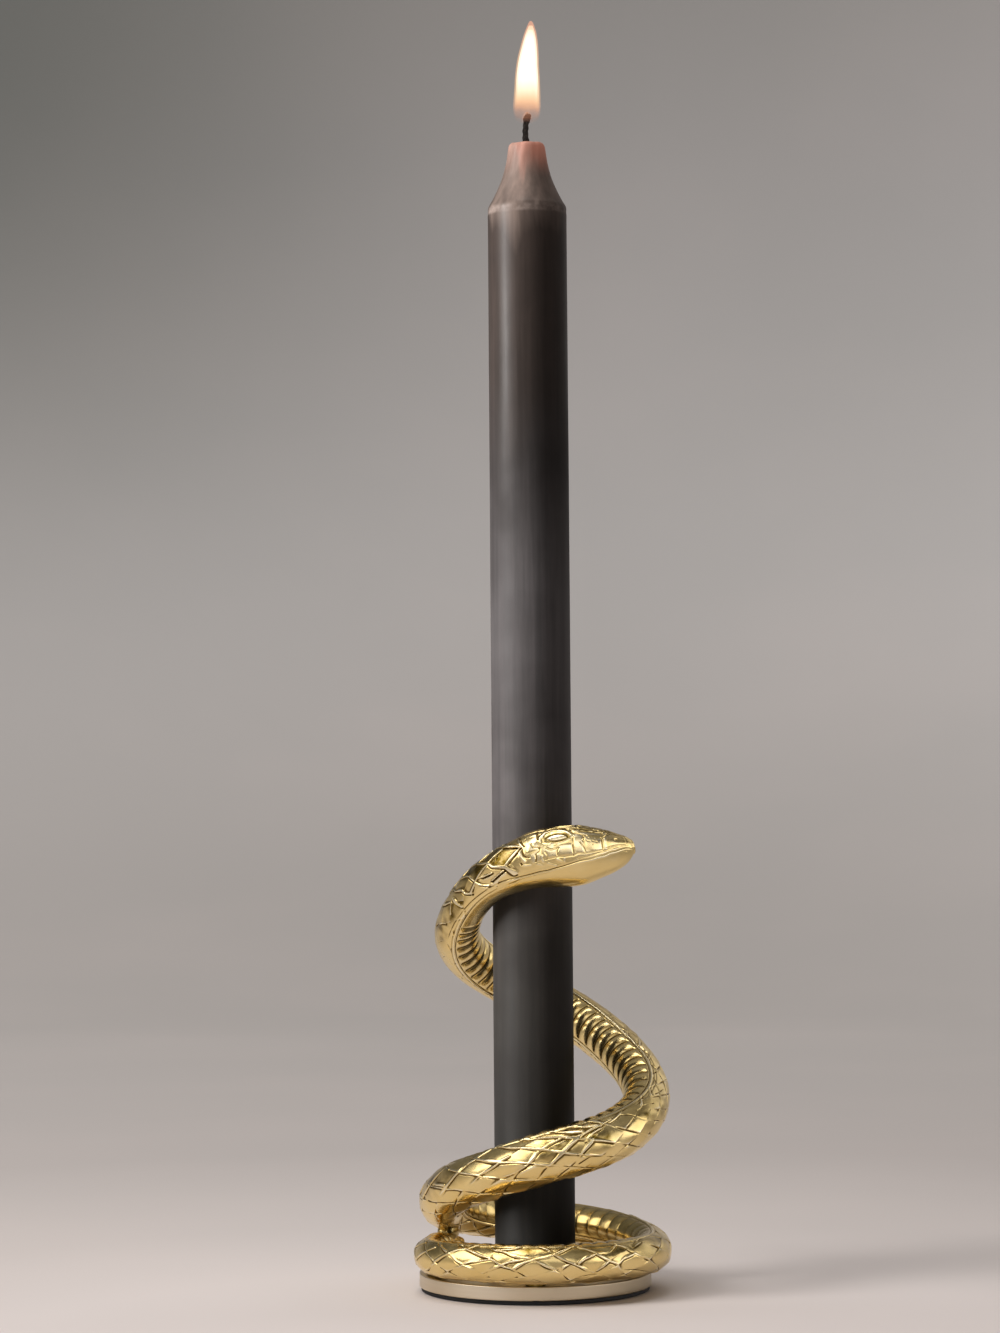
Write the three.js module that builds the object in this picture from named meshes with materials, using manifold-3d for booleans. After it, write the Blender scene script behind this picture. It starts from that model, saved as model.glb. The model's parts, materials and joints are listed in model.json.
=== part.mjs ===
// Taper candle holder: a cast snake coiled round a taper candle, fixed by
// countersunk screws to a round base disc. A shallow cup and a pointed
// pricket at the centre hold the candle.
//
// Units are millimetres, +Z is up. The origin is the centre of the base pad's
// underside, on the candle's axis. The snake's head points to +X and passes
// in front of the candle, on its -Y side.

import * as THREE from 'three';
import { mergeVertices } from 'three/addons/utils/BufferGeometryUtils.js';
import Module from 'manifold-3d';

const wasm = await Module();
wasm.setup();

// ---------------------------------------------------------------- dimensions

// base
const PAD_RADIUS = 31.2;
const PAD_THICKNESS = 1.05;
const DISC_RADIUS = 31.7;
const DISC_BOTTOM = 1.1;
const DISC_TOP = 4.9;
const DISC_EDGE = 0.45; // rounded edge of the disc

// candle cup (a shallow turned ring with a floor)
const CUP_BOTTOM = 4.95;
const CUP_FLOOR_TOP = 6.55;
const CUP_RIM = 11.2;
const CUP_OUTER_RADIUS = 13.0;
const CUP_INNER_RADIUS = 11.45;
const CUP_FOOT_RADIUS = 12.2;

// pricket (the point that the candle is pushed on to)
const PRICKET_BOTTOM = 6.6;
const PRICKET_TOP = 25.0;
const PRICKET_BASE_RADIUS = 3.3;
const PRICKET_TIP_RADIUS = 0.45;

// countersunk screws, all alike
const SCREW_SHANK_RADIUS = 1.35;
const SCREW_HEAD_RADIUS = 2.8;
const SCREW_HEAD_FACE = 1.2; // level of the flat of the head, above the pad
const SCREW_HEAD_HEIGHT = 1.6;
const SCREW_TOP = 10.9;
const SCREW_SOCKET_RADIUS = 1.15; // across the corners of the hexagon socket
const SCREW_SOCKET_DEPTH = 1.0;
const SCREW_CLEARANCE_RADIUS = 1.7; // in the disc and in the cup's floor
const SCREW_BORE_RADIUS = 1.65; // in the casting's feet and in the pricket
const SCREW_BORE_TOP = 11.3;

// cast feet under the snake's lowest turn: [angle in degrees, radius from the axis]
const FEET = [[-165, 27.6], [-90, 28.6], [-15, 28.6]];
const FOOT_RADIUS = 2.8;
const FOOT_BOTTOM = 4.95;
const FOOT_TOP = 10.2;

// candle, wick and flame
const CANDLE_BOTTOM = 6.65;
const CANDLE_RADIUS = 11.0;
const CANDLE_SHOULDER_RADIUS = 10.86;
const CANDLE_SHOULDER = 294.6;
const CANDLE_TOP = 314.25;
const WICK_RADIUS = 1.0;
const WICK_HOLE_RADIUS = 1.32;
const WICK_BOTTOM = 27.6;
const WICK_TOP = 322.4;
const PRICKET_CLEARANCE = 0.35;
const FLAME_BOTTOM = 319.9;
const FLAME_TOP = 348.1;
const FLAME_POCKET_RADIUS = 1.7;

// flame's shape: [height, half width, lean to +X]
const FLAME = [
  [319.9, 1.95, 0.15], [320.3, 2.7, 0.15], [321.6, 3.4, 0.18], [323.4, 3.72, 0.2],
  [326.0, 3.7, 0.22], [329.2, 3.55, 0.26], [332.3, 3.4, 0.33], [335.3, 3.15, 0.46],
  [338.2, 2.78, 0.68], [340.9, 2.28, 0.93], [343.2, 1.75, 1.15], [345.2, 1.2, 1.32],
  [346.9, 0.62, 1.42],
];

// Snake's coil: [angle round the axis in degrees, distance of the centre line
// from the axis, height of the centre line, radius of the body]. The camera
// side is -90 degrees, and the coil climbs as the angle grows.
const COIL = [
  [-220, 27.3, 10.35, 1.55],
  [-211, 27.5, 11.05, 2.45],
  [-200, 27.7, 11.10, 3.40],
  [-180, 28.5, 10.25, 4.15],
  [-160, 29.85, 10.25, 4.85],
  [-120, 31.0, 10.85, 5.30],
  [-80, 31.8, 10.90, 5.45],
  [-40, 32.8, 10.90, 5.50],
  [0, 31.95, 10.95, 5.45],
  [40, 29.8, 13.00, 5.50],
  [80, 30.2, 14.50, 5.75],
  [120, 29.9, 16.90, 6.15],
  [160, 26.8, 22.00, 6.55],
  [200, 22.7, 28.50, 6.80],
  [240, 22.3, 33.30, 6.93],
  [280, 25.9, 38.85, 7.15],
  [320, 29.0, 44.00, 7.08],
  [360, 30.85, 52.20, 6.58],
  [400, 30.2, 63.70, 6.88],
  [440, 30.5, 75.60, 7.00],
  [480, 27.0, 86.20, 7.00],
  [520, 22.2, 95.90, 6.45],
  [560, 18.3, 105.95, 5.87],
  [590, 17.9, 111.90, 6.15],
  [620, 18.9, 116.10, 7.20],
];

// Snake's head: [x, y, z of the centre line, half width, half height]
const HEAD = [
  [2.1, -19.10, 117.70, 7.25, 8.05],
  [7.5, -19.20, 118.30, 7.35, 8.45],
  [12.9, -18.85, 118.68, 7.00, 8.40],
  [18.2, -18.10, 119.20, 5.90, 6.95],
  [21.0, -17.65, 119.50, 5.05, 6.05],
  [23.7, -17.10, 119.98, 4.05, 4.80],
  [25.8, -16.70, 120.60, 2.95, 3.50],
  [27.0, -16.45, 120.85, 1.90, 2.20],
];
const SNOUT = [27.65, -16.3, 120.8];
const TAIL_CAP = 0.9; // length of the rounded end of the tail

// web of metal that joins the tail to the second turn above it: its place, and
// half lengths along the coil, away from the axis and up
const WEB = { angle: 152, radius: 27.1, z: 14.1, half: [4.4, 2.9, 2.7] };

// Turn of the back from "away from the axis" (0) to "up" (90 degrees)
const BACK_TURN = [[-230, 0], [470, 0], [520, 18], [560, 48], [590, 66], [620, 78], [660, 80], [720, 80]];

const SIDES = 16; // of the snake's section
const COIL_STEP = 6; // degrees

// eyes: centre from the head's station, and half axes
const EYE = { x: 6.8, out: 5.35, up: 5.2, half: [2.7, 1.0, 1.35] };

// ------------------------------------------------------------------ materials

const MAT = {
  gold: { color: 0xc9a45c, roughness: 0.28, metalness: 1.0 },
  disc: { color: 0xb9a98c, roughness: 0.35, metalness: 1.0 },
  pad: { color: 0x0d0d0f, roughness: 0.85, metalness: 0.0 },
  brass: { color: 0xb08d4a, roughness: 0.38, metalness: 1.0 },
  steel: { color: 0x9fa3a6, roughness: 0.35, metalness: 1.0 },
  wax: { color: 0x2c2829, roughness: 0.45, metalness: 0.0 },
  wick: { color: 0x15110e, roughness: 0.95, metalness: 0.0 },
  flame: { color: 0xffd98a, roughness: 0.6, metalness: 0.0 },
};

// -------------------------------------------------------------------- helpers

const rad = (d) => (d * Math.PI) / 180;

// One closed mesh: shared vertices merged, faces turned outwards.
function closed(geometry) {
  let g = geometry.clone();
  for (const name of Object.keys(g.attributes)) if (name !== 'position') g.deleteAttribute(name);
  g = mergeVertices(g, 1e-4);
  const p = g.attributes.position;
  const src = g.index.array;
  const keep = [];
  for (let i = 0; i < src.length; i += 3) {
    const [a, b, c] = [src[i], src[i + 1], src[i + 2]];
    if (a !== b && b !== c && c !== a) keep.push(a, b, c);
  }
  let volume = 0;
  const [A, B, C] = [new THREE.Vector3(), new THREE.Vector3(), new THREE.Vector3()];
  for (let i = 0; i < keep.length; i += 3) {
    A.fromBufferAttribute(p, keep[i]);
    B.fromBufferAttribute(p, keep[i + 1]);
    C.fromBufferAttribute(p, keep[i + 2]);
    volume += A.dot(B.cross(C)) / 6;
  }
  if (volume < 0) for (let i = 0; i < keep.length; i += 3) [keep[i + 1], keep[i + 2]] = [keep[i + 2], keep[i + 1]];
  g.setIndex(keep);
  return g;
}

function toManifold(geometry) {
  const g = closed(geometry);
  return new wasm.Manifold(new wasm.Mesh({
    numProp: 3,
    vertProperties: new Float32Array(g.attributes.position.array),
    triVerts: new Uint32Array(g.index.array),
  }));
}

function fromManifold(m) {
  const mesh = m.getMesh();
  const g = new THREE.BufferGeometry();
  g.setAttribute('position', new THREE.BufferAttribute(new Float32Array(mesh.vertProperties), 3));
  g.setIndex(Array.from(mesh.triVerts));
  return g;
}

// Turned piece: profile points are [radius, height].
function turned(profile, segments) {
  const points = profile.map(([r, z]) => new THREE.Vector2(r, z));
  return new THREE.LatheGeometry(points, segments).rotateX(Math.PI / 2);
}

function rod(radius, z0, z1, segments, x = 0, y = 0) {
  return turned([[0, z0], [radius, z0], [radius, z1], [0, z1]], segments).translate(x, y, 0);
}

// Skin over a row of rings of points, closed by a point at each end.
function loft(rings, first, last) {
  const n = rings[0].length;
  const v = [];
  const f = [];
  for (const ring of rings) for (const q of ring) v.push(q.x, q.y, q.z);
  const a = v.length / 3;
  v.push(first.x, first.y, first.z, last.x, last.y, last.z);
  for (let i = 0; i + 1 < rings.length; i++) {
    for (let j = 0; j < n; j++) {
      const k = (j + 1) % n;
      const [p, q, r, s] = [i * n + j, i * n + k, (i + 1) * n + k, (i + 1) * n + j];
      f.push(p, q, r, p, r, s);
    }
  }
  const e = (rings.length - 1) * n;
  for (let j = 0; j < n; j++) {
    const k = (j + 1) % n;
    f.push(a, k, j, a + 1, e + j, e + k);
  }
  const g = new THREE.BufferGeometry();
  g.setAttribute('position', new THREE.Float32BufferAttribute(v, 3));
  g.setIndex(f);
  return g;
}

// Smooth curve through a table's values, each row starting with its knot.
function table(rows, column, t) {
  const n = rows.length;
  let i = 0;
  while (i < n - 2 && t > rows[i + 1][0]) i++;
  const slope = (k) => {
    if (k === 0) return (rows[1][column] - rows[0][column]) / (rows[1][0] - rows[0][0]);
    if (k === n - 1) return (rows[k][column] - rows[k - 1][column]) / (rows[k][0] - rows[k - 1][0]);
    const h0 = rows[k][0] - rows[k - 1][0];
    const h1 = rows[k + 1][0] - rows[k][0];
    const d0 = (rows[k][column] - rows[k - 1][column]) / h0;
    const d1 = (rows[k + 1][column] - rows[k][column]) / h1;
    return (d0 * h1 + d1 * h0) / (h0 + h1);
  };
  const h = rows[i + 1][0] - rows[i][0];
  const u = Math.min(Math.max((t - rows[i][0]) / h, 0), 1);
  const [p0, p1, m0, m1] = [rows[i][column], rows[i + 1][column], slope(i) * h, slope(i + 1) * h];
  return (2 * u ** 3 - 3 * u ** 2 + 1) * p0 + (u ** 3 - 2 * u ** 2 + u) * m0
    + (-2 * u ** 3 + 3 * u ** 2) * p1 + (u ** 3 - u ** 2) * m1;
}

function coilPoint(angle) {
  const R = table(COIL, 1, angle);
  return new THREE.Vector3(R * Math.cos(rad(angle)), R * Math.sin(rad(angle)), table(COIL, 2, angle));
}

// ---------------------------------------------------------------------- snake

function snakeCasting() {
  const stations = [];
  const start = COIL[0][0];
  const end = COIL[COIL.length - 1][0];
  for (let t = start; t <= end + 1e-6; t += COIL_STEP) {
    const r = table(COIL, 3, t);
    stations.push({ c: coilPoint(t), w: r, h: r, turn: table(BACK_TURN, 1, t), angle: t });
  }
  const lastCoil = stations[stations.length - 1];
  const headRows = [
    [lastCoil.c.x, lastCoil.c.y, lastCoil.c.z, lastCoil.w, lastCoil.h],
    ...HEAD,
  ].map((row) => [row[0], ...row]); // knot = x
  for (let i = 1; i < headRows.length; i++) {
    const parts = i < 5 ? 2 : 1;
    for (let k = 1; k <= parts; k++) {
      const x = headRows[i - 1][0] + ((headRows[i][0] - headRows[i - 1][0]) * k) / parts;
      stations.push({
        c: new THREE.Vector3(x, table(headRows, 2, x), table(headRows, 3, x)),
        w: table(headRows, 4, x), h: table(headRows, 5, x), turn: 80, angle: 620,
      });
    }
  }
  const snout = new THREE.Vector3(...SNOUT);
  const rings = stations.map((s, i) => {
    const before = stations[Math.max(i - 1, 0)].c;
    const after = i + 1 < stations.length ? stations[i + 1].c : snout;
    const along = after.clone().sub(before).normalize();
    // "away from the axis" at this station, square to the centre line
    const a = Math.atan2(s.c.y, s.c.x);
    const outAngle = s.angle >= 620 ? -Math.PI / 2 : a;
    const out = new THREE.Vector3(Math.cos(outAngle), Math.sin(outAngle), 0);
    out.addScaledVector(along, -out.dot(along)).normalize();
    const up = along.clone().cross(out).normalize();
    if (up.z < 0) up.negate();
    const back = out.clone().multiplyScalar(Math.cos(rad(s.turn))).addScaledVector(up, Math.sin(rad(s.turn)));
    const side = along.clone().cross(back).normalize();
    s.along = along; s.back = back; s.side = side;
    const ring = [];
    for (let j = 0; j < SIDES; j++) {
      const q = (2 * Math.PI * (j + 0.5)) / SIDES;
      ring.push(s.c.clone().addScaledVector(back, s.h * Math.cos(q)).addScaledVector(side, s.w * Math.sin(q)));
    }
    return ring;
  });
  const tail = stations[0];
  const tailTip = tail.c.clone().addScaledVector(tail.along, -TAIL_CAP);
  let body = toManifold(loft(rings, tailTip, snout));

  // eyes, one on each side of the head
  const at = stations.reduce((m, s) => (s.angle >= 620 && Math.abs(s.c.x - EYE.x) < Math.abs(m.c.x - EYE.x) ? s : m), lastCoil);
  for (const hand of [1, -1]) {
    const eye = new THREE.SphereGeometry(1, 14, 8);
    eye.applyMatrix4(new THREE.Matrix4().makeBasis(
      at.along.clone().multiplyScalar(EYE.half[0]),
      at.back.clone().multiplyScalar(EYE.half[2]),
      at.side.clone().multiplyScalar(EYE.half[1]),
    ).setPosition(at.c.clone().addScaledVector(at.back, EYE.up).addScaledVector(at.side, hand * EYE.out)));
    body = body.add(toManifold(eye));
  }

  // web between the tail and the second turn
  const web = new THREE.SphereGeometry(1, 14, 8).scale(WEB.half[0], WEB.half[1], WEB.half[2])
    .rotateZ(rad(WEB.angle + 90))
    .translate(WEB.radius * Math.cos(rad(WEB.angle)), WEB.radius * Math.sin(rad(WEB.angle)), WEB.z);
  body = body.add(toManifold(web));

  // cast feet and their screw bores
  for (const [angle, r] of FEET) {
    const [x, y] = [r * Math.cos(rad(angle)), r * Math.sin(rad(angle))];
    body = body.add(toManifold(rod(FOOT_RADIUS, FOOT_BOTTOM, FOOT_TOP, 20, x, y)));
  }
  for (const [angle, r] of FEET) {
    const [x, y] = [r * Math.cos(rad(angle)), r * Math.sin(rad(angle))];
    body = body.subtract(toManifold(rod(SCREW_BORE_RADIUS, FOOT_BOTTOM - 1, SCREW_BORE_TOP, 14, x, y)));
  }
  return fromManifold(body);
}

// ----------------------------------------------------------------------- base

function basePad() {
  return turned([
    [0, 0], [PAD_RADIUS - 0.25, 0], [PAD_RADIUS, 0.25],
    [PAD_RADIUS, PAD_THICKNESS], [0, PAD_THICKNESS],
  ], 72);
}

function screwHole(x, y) {
  const sink = SCREW_HEAD_RADIUS + 0.3;
  return toManifold(turned([
    [0, DISC_BOTTOM - 0.5], [sink, DISC_BOTTOM - 0.5], [sink, DISC_BOTTOM + 0.15],
    [SCREW_CLEARANCE_RADIUS, SCREW_HEAD_FACE + SCREW_HEAD_HEIGHT],
    [SCREW_CLEARANCE_RADIUS, DISC_TOP + 0.5], [0, DISC_TOP + 0.5],
  ], 20).translate(x, y, 0));
}

function baseDisc() {
  const e = DISC_EDGE;
  const [t, b, r] = [DISC_TOP, DISC_BOTTOM, DISC_RADIUS];
  let disc = toManifold(turned([
    [0, b], [r - e * 0.6, b], [r - 0.1, b + e * 0.25], [r, b + e * 0.7],
    [r, t - e], [r - e * 0.3, t - e * 0.3], [r - e, t], [0, t],
  ], 84));
  disc = disc.subtract(screwHole(0, 0));
  for (const [angle, d] of FEET) disc = disc.subtract(screwHole(d * Math.cos(rad(angle)), d * Math.sin(rad(angle))));
  return fromManifold(disc);
}

function screw(x, y) {
  const h = SCREW_HEAD_FACE;
  const body = toManifold(turned([
    [0, h], [SCREW_HEAD_RADIUS - 0.15, h], [SCREW_HEAD_RADIUS, h + 0.15],
    [SCREW_SHANK_RADIUS, h + SCREW_HEAD_HEIGHT - 0.1],
    [SCREW_SHANK_RADIUS, SCREW_TOP - 0.4], [SCREW_SHANK_RADIUS - 0.4, SCREW_TOP], [0, SCREW_TOP],
  ], 16).translate(x, y, 0));
  const socket = toManifold(rod(SCREW_SOCKET_RADIUS, h - 0.5, h + SCREW_SOCKET_DEPTH, 6, x, y));
  return fromManifold(body.subtract(socket));
}

// ------------------------------------------------------------- candle's socket

function candleCup() {
  const cup = toManifold(turned([
    [0, CUP_BOTTOM], [CUP_FOOT_RADIUS, CUP_BOTTOM], [CUP_OUTER_RADIUS, CUP_BOTTOM + 0.8],
    [CUP_OUTER_RADIUS, CUP_RIM - 0.5], [CUP_OUTER_RADIUS - 0.35, CUP_RIM],
    [CUP_INNER_RADIUS + 0.5, CUP_RIM], [CUP_INNER_RADIUS, CUP_RIM - 0.8],
    [CUP_INNER_RADIUS, CUP_FLOOR_TOP], [0, CUP_FLOOR_TOP],
  ], 48));
  return fromManifold(cup.subtract(toManifold(rod(SCREW_CLEARANCE_RADIUS, CUP_BOTTOM - 1, CUP_FLOOR_TOP + 1, 16))));
}

function pricketRadius(z) {
  const u = (z - PRICKET_BOTTOM) / (PRICKET_TOP - PRICKET_BOTTOM);
  return PRICKET_BASE_RADIUS + (PRICKET_TIP_RADIUS - PRICKET_BASE_RADIUS) * u;
}

function pricket() {
  const body = toManifold(turned([
    [0, PRICKET_BOTTOM], [PRICKET_BASE_RADIUS, PRICKET_BOTTOM],
    [PRICKET_TIP_RADIUS, PRICKET_TOP], [0, PRICKET_TOP + 0.3],
  ], 20));
  return fromManifold(body.subtract(toManifold(rod(SCREW_BORE_RADIUS, PRICKET_BOTTOM - 1, SCREW_BORE_TOP, 14))));
}

// --------------------------------------------------------------------- candle

// The profile runs up the outside, over the rounded top, into the melted
// dish, down the wick's hole and out of the pricket's hole.
function candle() {
  const c = PRICKET_CLEARANCE;
  return turned([
    [PRICKET_BASE_RADIUS + c, CANDLE_BOTTOM],
    [CANDLE_RADIUS - 0.5, CANDLE_BOTTOM], [CANDLE_RADIUS, CANDLE_BOTTOM + 0.5],
    [CANDLE_RADIUS - 0.05, 100], [CANDLE_RADIUS - 0.1, 200],
    [CANDLE_SHOULDER_RADIUS, CANDLE_SHOULDER], [10.78, 295.7], [10.5, 296.6], [10.0, 297.5],
    [9.3, 298.9], [8.0, 301.6], [6.95, 304.1], [6.2, 306.6], [5.6, 309.2],
    [5.25, 311.4], [5.0, 312.9], [4.5, 313.9], [3.8, CANDLE_TOP], [3.0, 314.1], [2.1, 313.5],
    [WICK_HOLE_RADIUS, 312.9],
    [WICK_HOLE_RADIUS, WICK_BOTTOM - 0.6],
    [PRICKET_TIP_RADIUS + c, PRICKET_TOP + 0.6],
    [PRICKET_BASE_RADIUS + c, CANDLE_BOTTOM],
  ], 44);
}

function wickCentre(z) {
  // straight in the wax, with a slight S bend above it
  const u = Math.max(z - 313, 0) / (WICK_TOP - 313);
  return [0.55 * u * u * u - 0.35 * Math.sin(Math.PI * u), -0.1 * Math.sin(Math.PI * u)];
}

function wick() {
  const levels = [WICK_BOTTOM, 120, 220, 300, 313, 314.8, 316.6, 318.4, 320.2, 321.6, WICK_TOP - 0.15];
  const rings = levels.map((z, i) => {
    const [x, y] = wickCentre(z);
    const r = i === levels.length - 1 ? WICK_RADIUS * 0.6 : WICK_RADIUS;
    return Array.from({ length: 10 }, (_, j) => {
      const q = (2 * Math.PI * j) / 10;
      return new THREE.Vector3(x + r * Math.cos(q), y + r * Math.sin(q), z);
    });
  });
  const [x, y] = wickCentre(WICK_TOP);
  return loft(rings, new THREE.Vector3(0, 0, WICK_BOTTOM), new THREE.Vector3(x, y, WICK_TOP));
}

// A leaning teardrop with a pocket at its foot, where the wick's end stands.
function flame() {
  const rings = FLAME.map(([z, r, x]) => Array.from({ length: 18 }, (_, j) => {
    const q = (2 * Math.PI * j) / 18;
    return new THREE.Vector3(x + r * Math.cos(q), r * Math.sin(q), z);
  }));
  const last = FLAME[FLAME.length - 1];
  const body = toManifold(loft(rings, new THREE.Vector3(FLAME[0][2], 0, FLAME_BOTTOM), new THREE.Vector3(last[2] + 0.04, 0, FLAME_TOP)));
  const pocket = toManifold(rod(FLAME_POCKET_RADIUS, FLAME_BOTTOM - 1, WICK_TOP + 0.5, 12, 0.2, 0));
  return fromManifold(body.subtract(pocket));
}

// -------------------------------------------------------------------- assembly

function piece(name, geometry, mat) {
  const mesh = new THREE.Mesh(closed(geometry), new THREE.MeshStandardMaterial({ ...mat }));
  mesh.geometry.computeVertexNormals();
  mesh.name = name;
  return mesh;
}

const holder = new THREE.Group();
holder.add(piece('snake_casting', snakeCasting(), MAT.gold));
holder.add(piece('base_disc', baseDisc(), MAT.disc));
holder.add(piece('base_pad', basePad(), MAT.pad));
holder.add(piece('candle_cup', candleCup(), MAT.brass));
holder.add(piece('pricket', pricket(), MAT.steel));
holder.add(piece('pricket_screw', screw(0, 0), MAT.steel));
FEET.forEach(([angle, d], i) => {
  holder.add(piece(`snake_screw_${i + 1}`, screw(d * Math.cos(rad(angle)), d * Math.sin(rad(angle))), MAT.steel));
});

const taper = new THREE.Group();
taper.add(piece('candle', candle(), MAT.wax));
taper.add(piece('wick', wick(), MAT.wick));
taper.add(piece('flame', flame(), MAT.flame));

const assembly = new THREE.Group();
assembly.add(holder, taper);

export default assembly;
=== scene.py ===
# Looks of the taper candle holder: a cast snake coiled round a lit taper
# candle, on a round base disc. Metres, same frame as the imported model: the
# candle's axis is Z, the snake's head points to +X on the -Y side.
import json
import math

import bpy
import numpy as np
from mathutils import Matrix, Vector

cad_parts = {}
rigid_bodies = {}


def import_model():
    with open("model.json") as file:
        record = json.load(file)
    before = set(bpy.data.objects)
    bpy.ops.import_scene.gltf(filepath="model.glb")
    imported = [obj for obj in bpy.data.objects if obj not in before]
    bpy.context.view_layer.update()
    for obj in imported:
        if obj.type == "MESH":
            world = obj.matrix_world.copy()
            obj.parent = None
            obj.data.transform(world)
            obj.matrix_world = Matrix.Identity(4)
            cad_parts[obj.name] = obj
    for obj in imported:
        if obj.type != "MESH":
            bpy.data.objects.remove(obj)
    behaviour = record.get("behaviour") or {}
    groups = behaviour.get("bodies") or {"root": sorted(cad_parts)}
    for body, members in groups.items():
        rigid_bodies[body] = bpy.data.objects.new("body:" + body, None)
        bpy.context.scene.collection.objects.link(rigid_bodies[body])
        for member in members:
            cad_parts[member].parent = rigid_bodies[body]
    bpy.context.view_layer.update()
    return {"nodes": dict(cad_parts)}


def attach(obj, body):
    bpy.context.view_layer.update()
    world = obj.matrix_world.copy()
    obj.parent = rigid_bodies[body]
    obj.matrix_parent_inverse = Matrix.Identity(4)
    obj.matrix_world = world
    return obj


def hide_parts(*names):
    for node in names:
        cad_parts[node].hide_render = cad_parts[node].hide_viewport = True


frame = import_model()

MM = 0.001

# ------------------------------------------------------------------ camera

def add_camera():
    """Pinhole camera at the photograph's angle: 1 m in front, 145 mm up, and 0.0251 rad nose up."""
    yaw, pitch, roll = 0.0081, 0.0251, -0.0077
    fwd = Vector((-math.sin(yaw) * math.cos(pitch), math.cos(yaw) * math.cos(pitch), math.sin(pitch)))
    right = Vector((math.cos(yaw), math.sin(yaw), 0.0))
    up = right.cross(fwd)
    r2 = right * math.cos(roll) + up * math.sin(roll)
    u2 = -right * math.sin(roll) + up * math.cos(roll)
    data = bpy.data.cameras.new("camera")
    data.lens = 98.42
    data.sensor_width = 36.0
    data.clip_start = 0.01
    data.clip_end = 30.0
    cam = bpy.data.objects.new("camera", data)
    bpy.context.scene.collection.objects.link(cam)
    m = Matrix((r2, u2, -fwd)).transposed().to_4x4()
    m.translation = Vector((-0.00033, -1.0, 0.14496))
    cam.matrix_world = m
    bpy.context.scene.camera = cam


add_camera()

# ------------------------------------------------------- small mesh helpers

def mesh_object(name, verts, faces, material, normals=None, uv=None, smooth=True, sharp=None):
    """verts (n, 3) in metres; faces a list of index lists; normals one per vertex; uv one per face corner."""
    me = bpy.data.meshes.new(name)
    me.from_pydata([tuple(v) for v in np.asarray(verts, float).tolist()], [], faces)
    me.validate(clean_customdata=False)
    if uv is not None:
        layer = me.uv_layers.new(name="OFBake")
        layer.data.foreach_set("uv", np.asarray(uv, np.float32).ravel())
    me.polygons.foreach_set("use_smooth", [smooth] * len(me.polygons))
    me.update()
    if sharp is not None:
        me.set_sharp_from_angle(angle=math.radians(sharp))
    if normals is not None:
        me.normals_split_custom_set_from_vertices(np.asarray(normals, float).tolist())
    me.materials.append(material)
    ob = bpy.data.objects.new(name, me)
    bpy.context.scene.collection.objects.link(ob)
    return ob


def lathe(name, profile, material, segments=192, shift=None, centre=(0.0, 0.0), sharp=35, closed_ring=False):
    """Turned piece. profile is [(r, z)] in mm from the axis to the axis, or a closed ring. shift(angle, r, z) moves points."""
    verts, rows = [], []
    ang = np.arange(segments) * 2 * math.pi / segments
    for r, z in profile:
        if r < 1e-6:
            rows.append([len(verts)])
            verts.append((centre[0], centre[1], z))
            continue
        rr, zz = np.full(segments, float(r)), np.full(segments, float(z))
        if shift is not None:
            rr, zz = shift(ang, rr, zz)
        rows.append(list(range(len(verts), len(verts) + segments)))
        for a, p, q in zip(ang, rr, zz):
            verts.append((centre[0] + p * math.cos(a), centre[1] + p * math.sin(a), q))
    faces = []
    pairs = list(zip(rows[:-1], rows[1:]))
    if closed_ring:
        pairs.append((rows[-1], rows[0]))
    for a, b in pairs:
        for j in range(segments):
            k = (j + 1) % segments
            if len(a) == 1 and len(b) == 1:
                break
            if len(a) == 1:
                faces.append([a[0], b[k], b[j]])
            elif len(b) == 1:
                faces.append([a[j], a[k], b[0]])
            else:
                faces.append([a[j], a[k], b[k], b[j]])
    return mesh_object(name, np.array(verts) * MM, faces, material, sharp=sharp)


def arc(cx, cz, r, a0, a1, n):
    """Points of a rounded edge in a lathe profile, angles in degrees from the +r direction."""
    return [(cx + r * math.cos(math.radians(a0 + (a1 - a0) * i / n)),
             cz + r * math.sin(math.radians(a0 + (a1 - a0) * i / n))) for i in range(n + 1)]


def finished(ob, body, slot, *nodes):
    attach(ob, body)
    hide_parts(*nodes)
    return ob


# ---------------------------------------------------------------- materials

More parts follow.
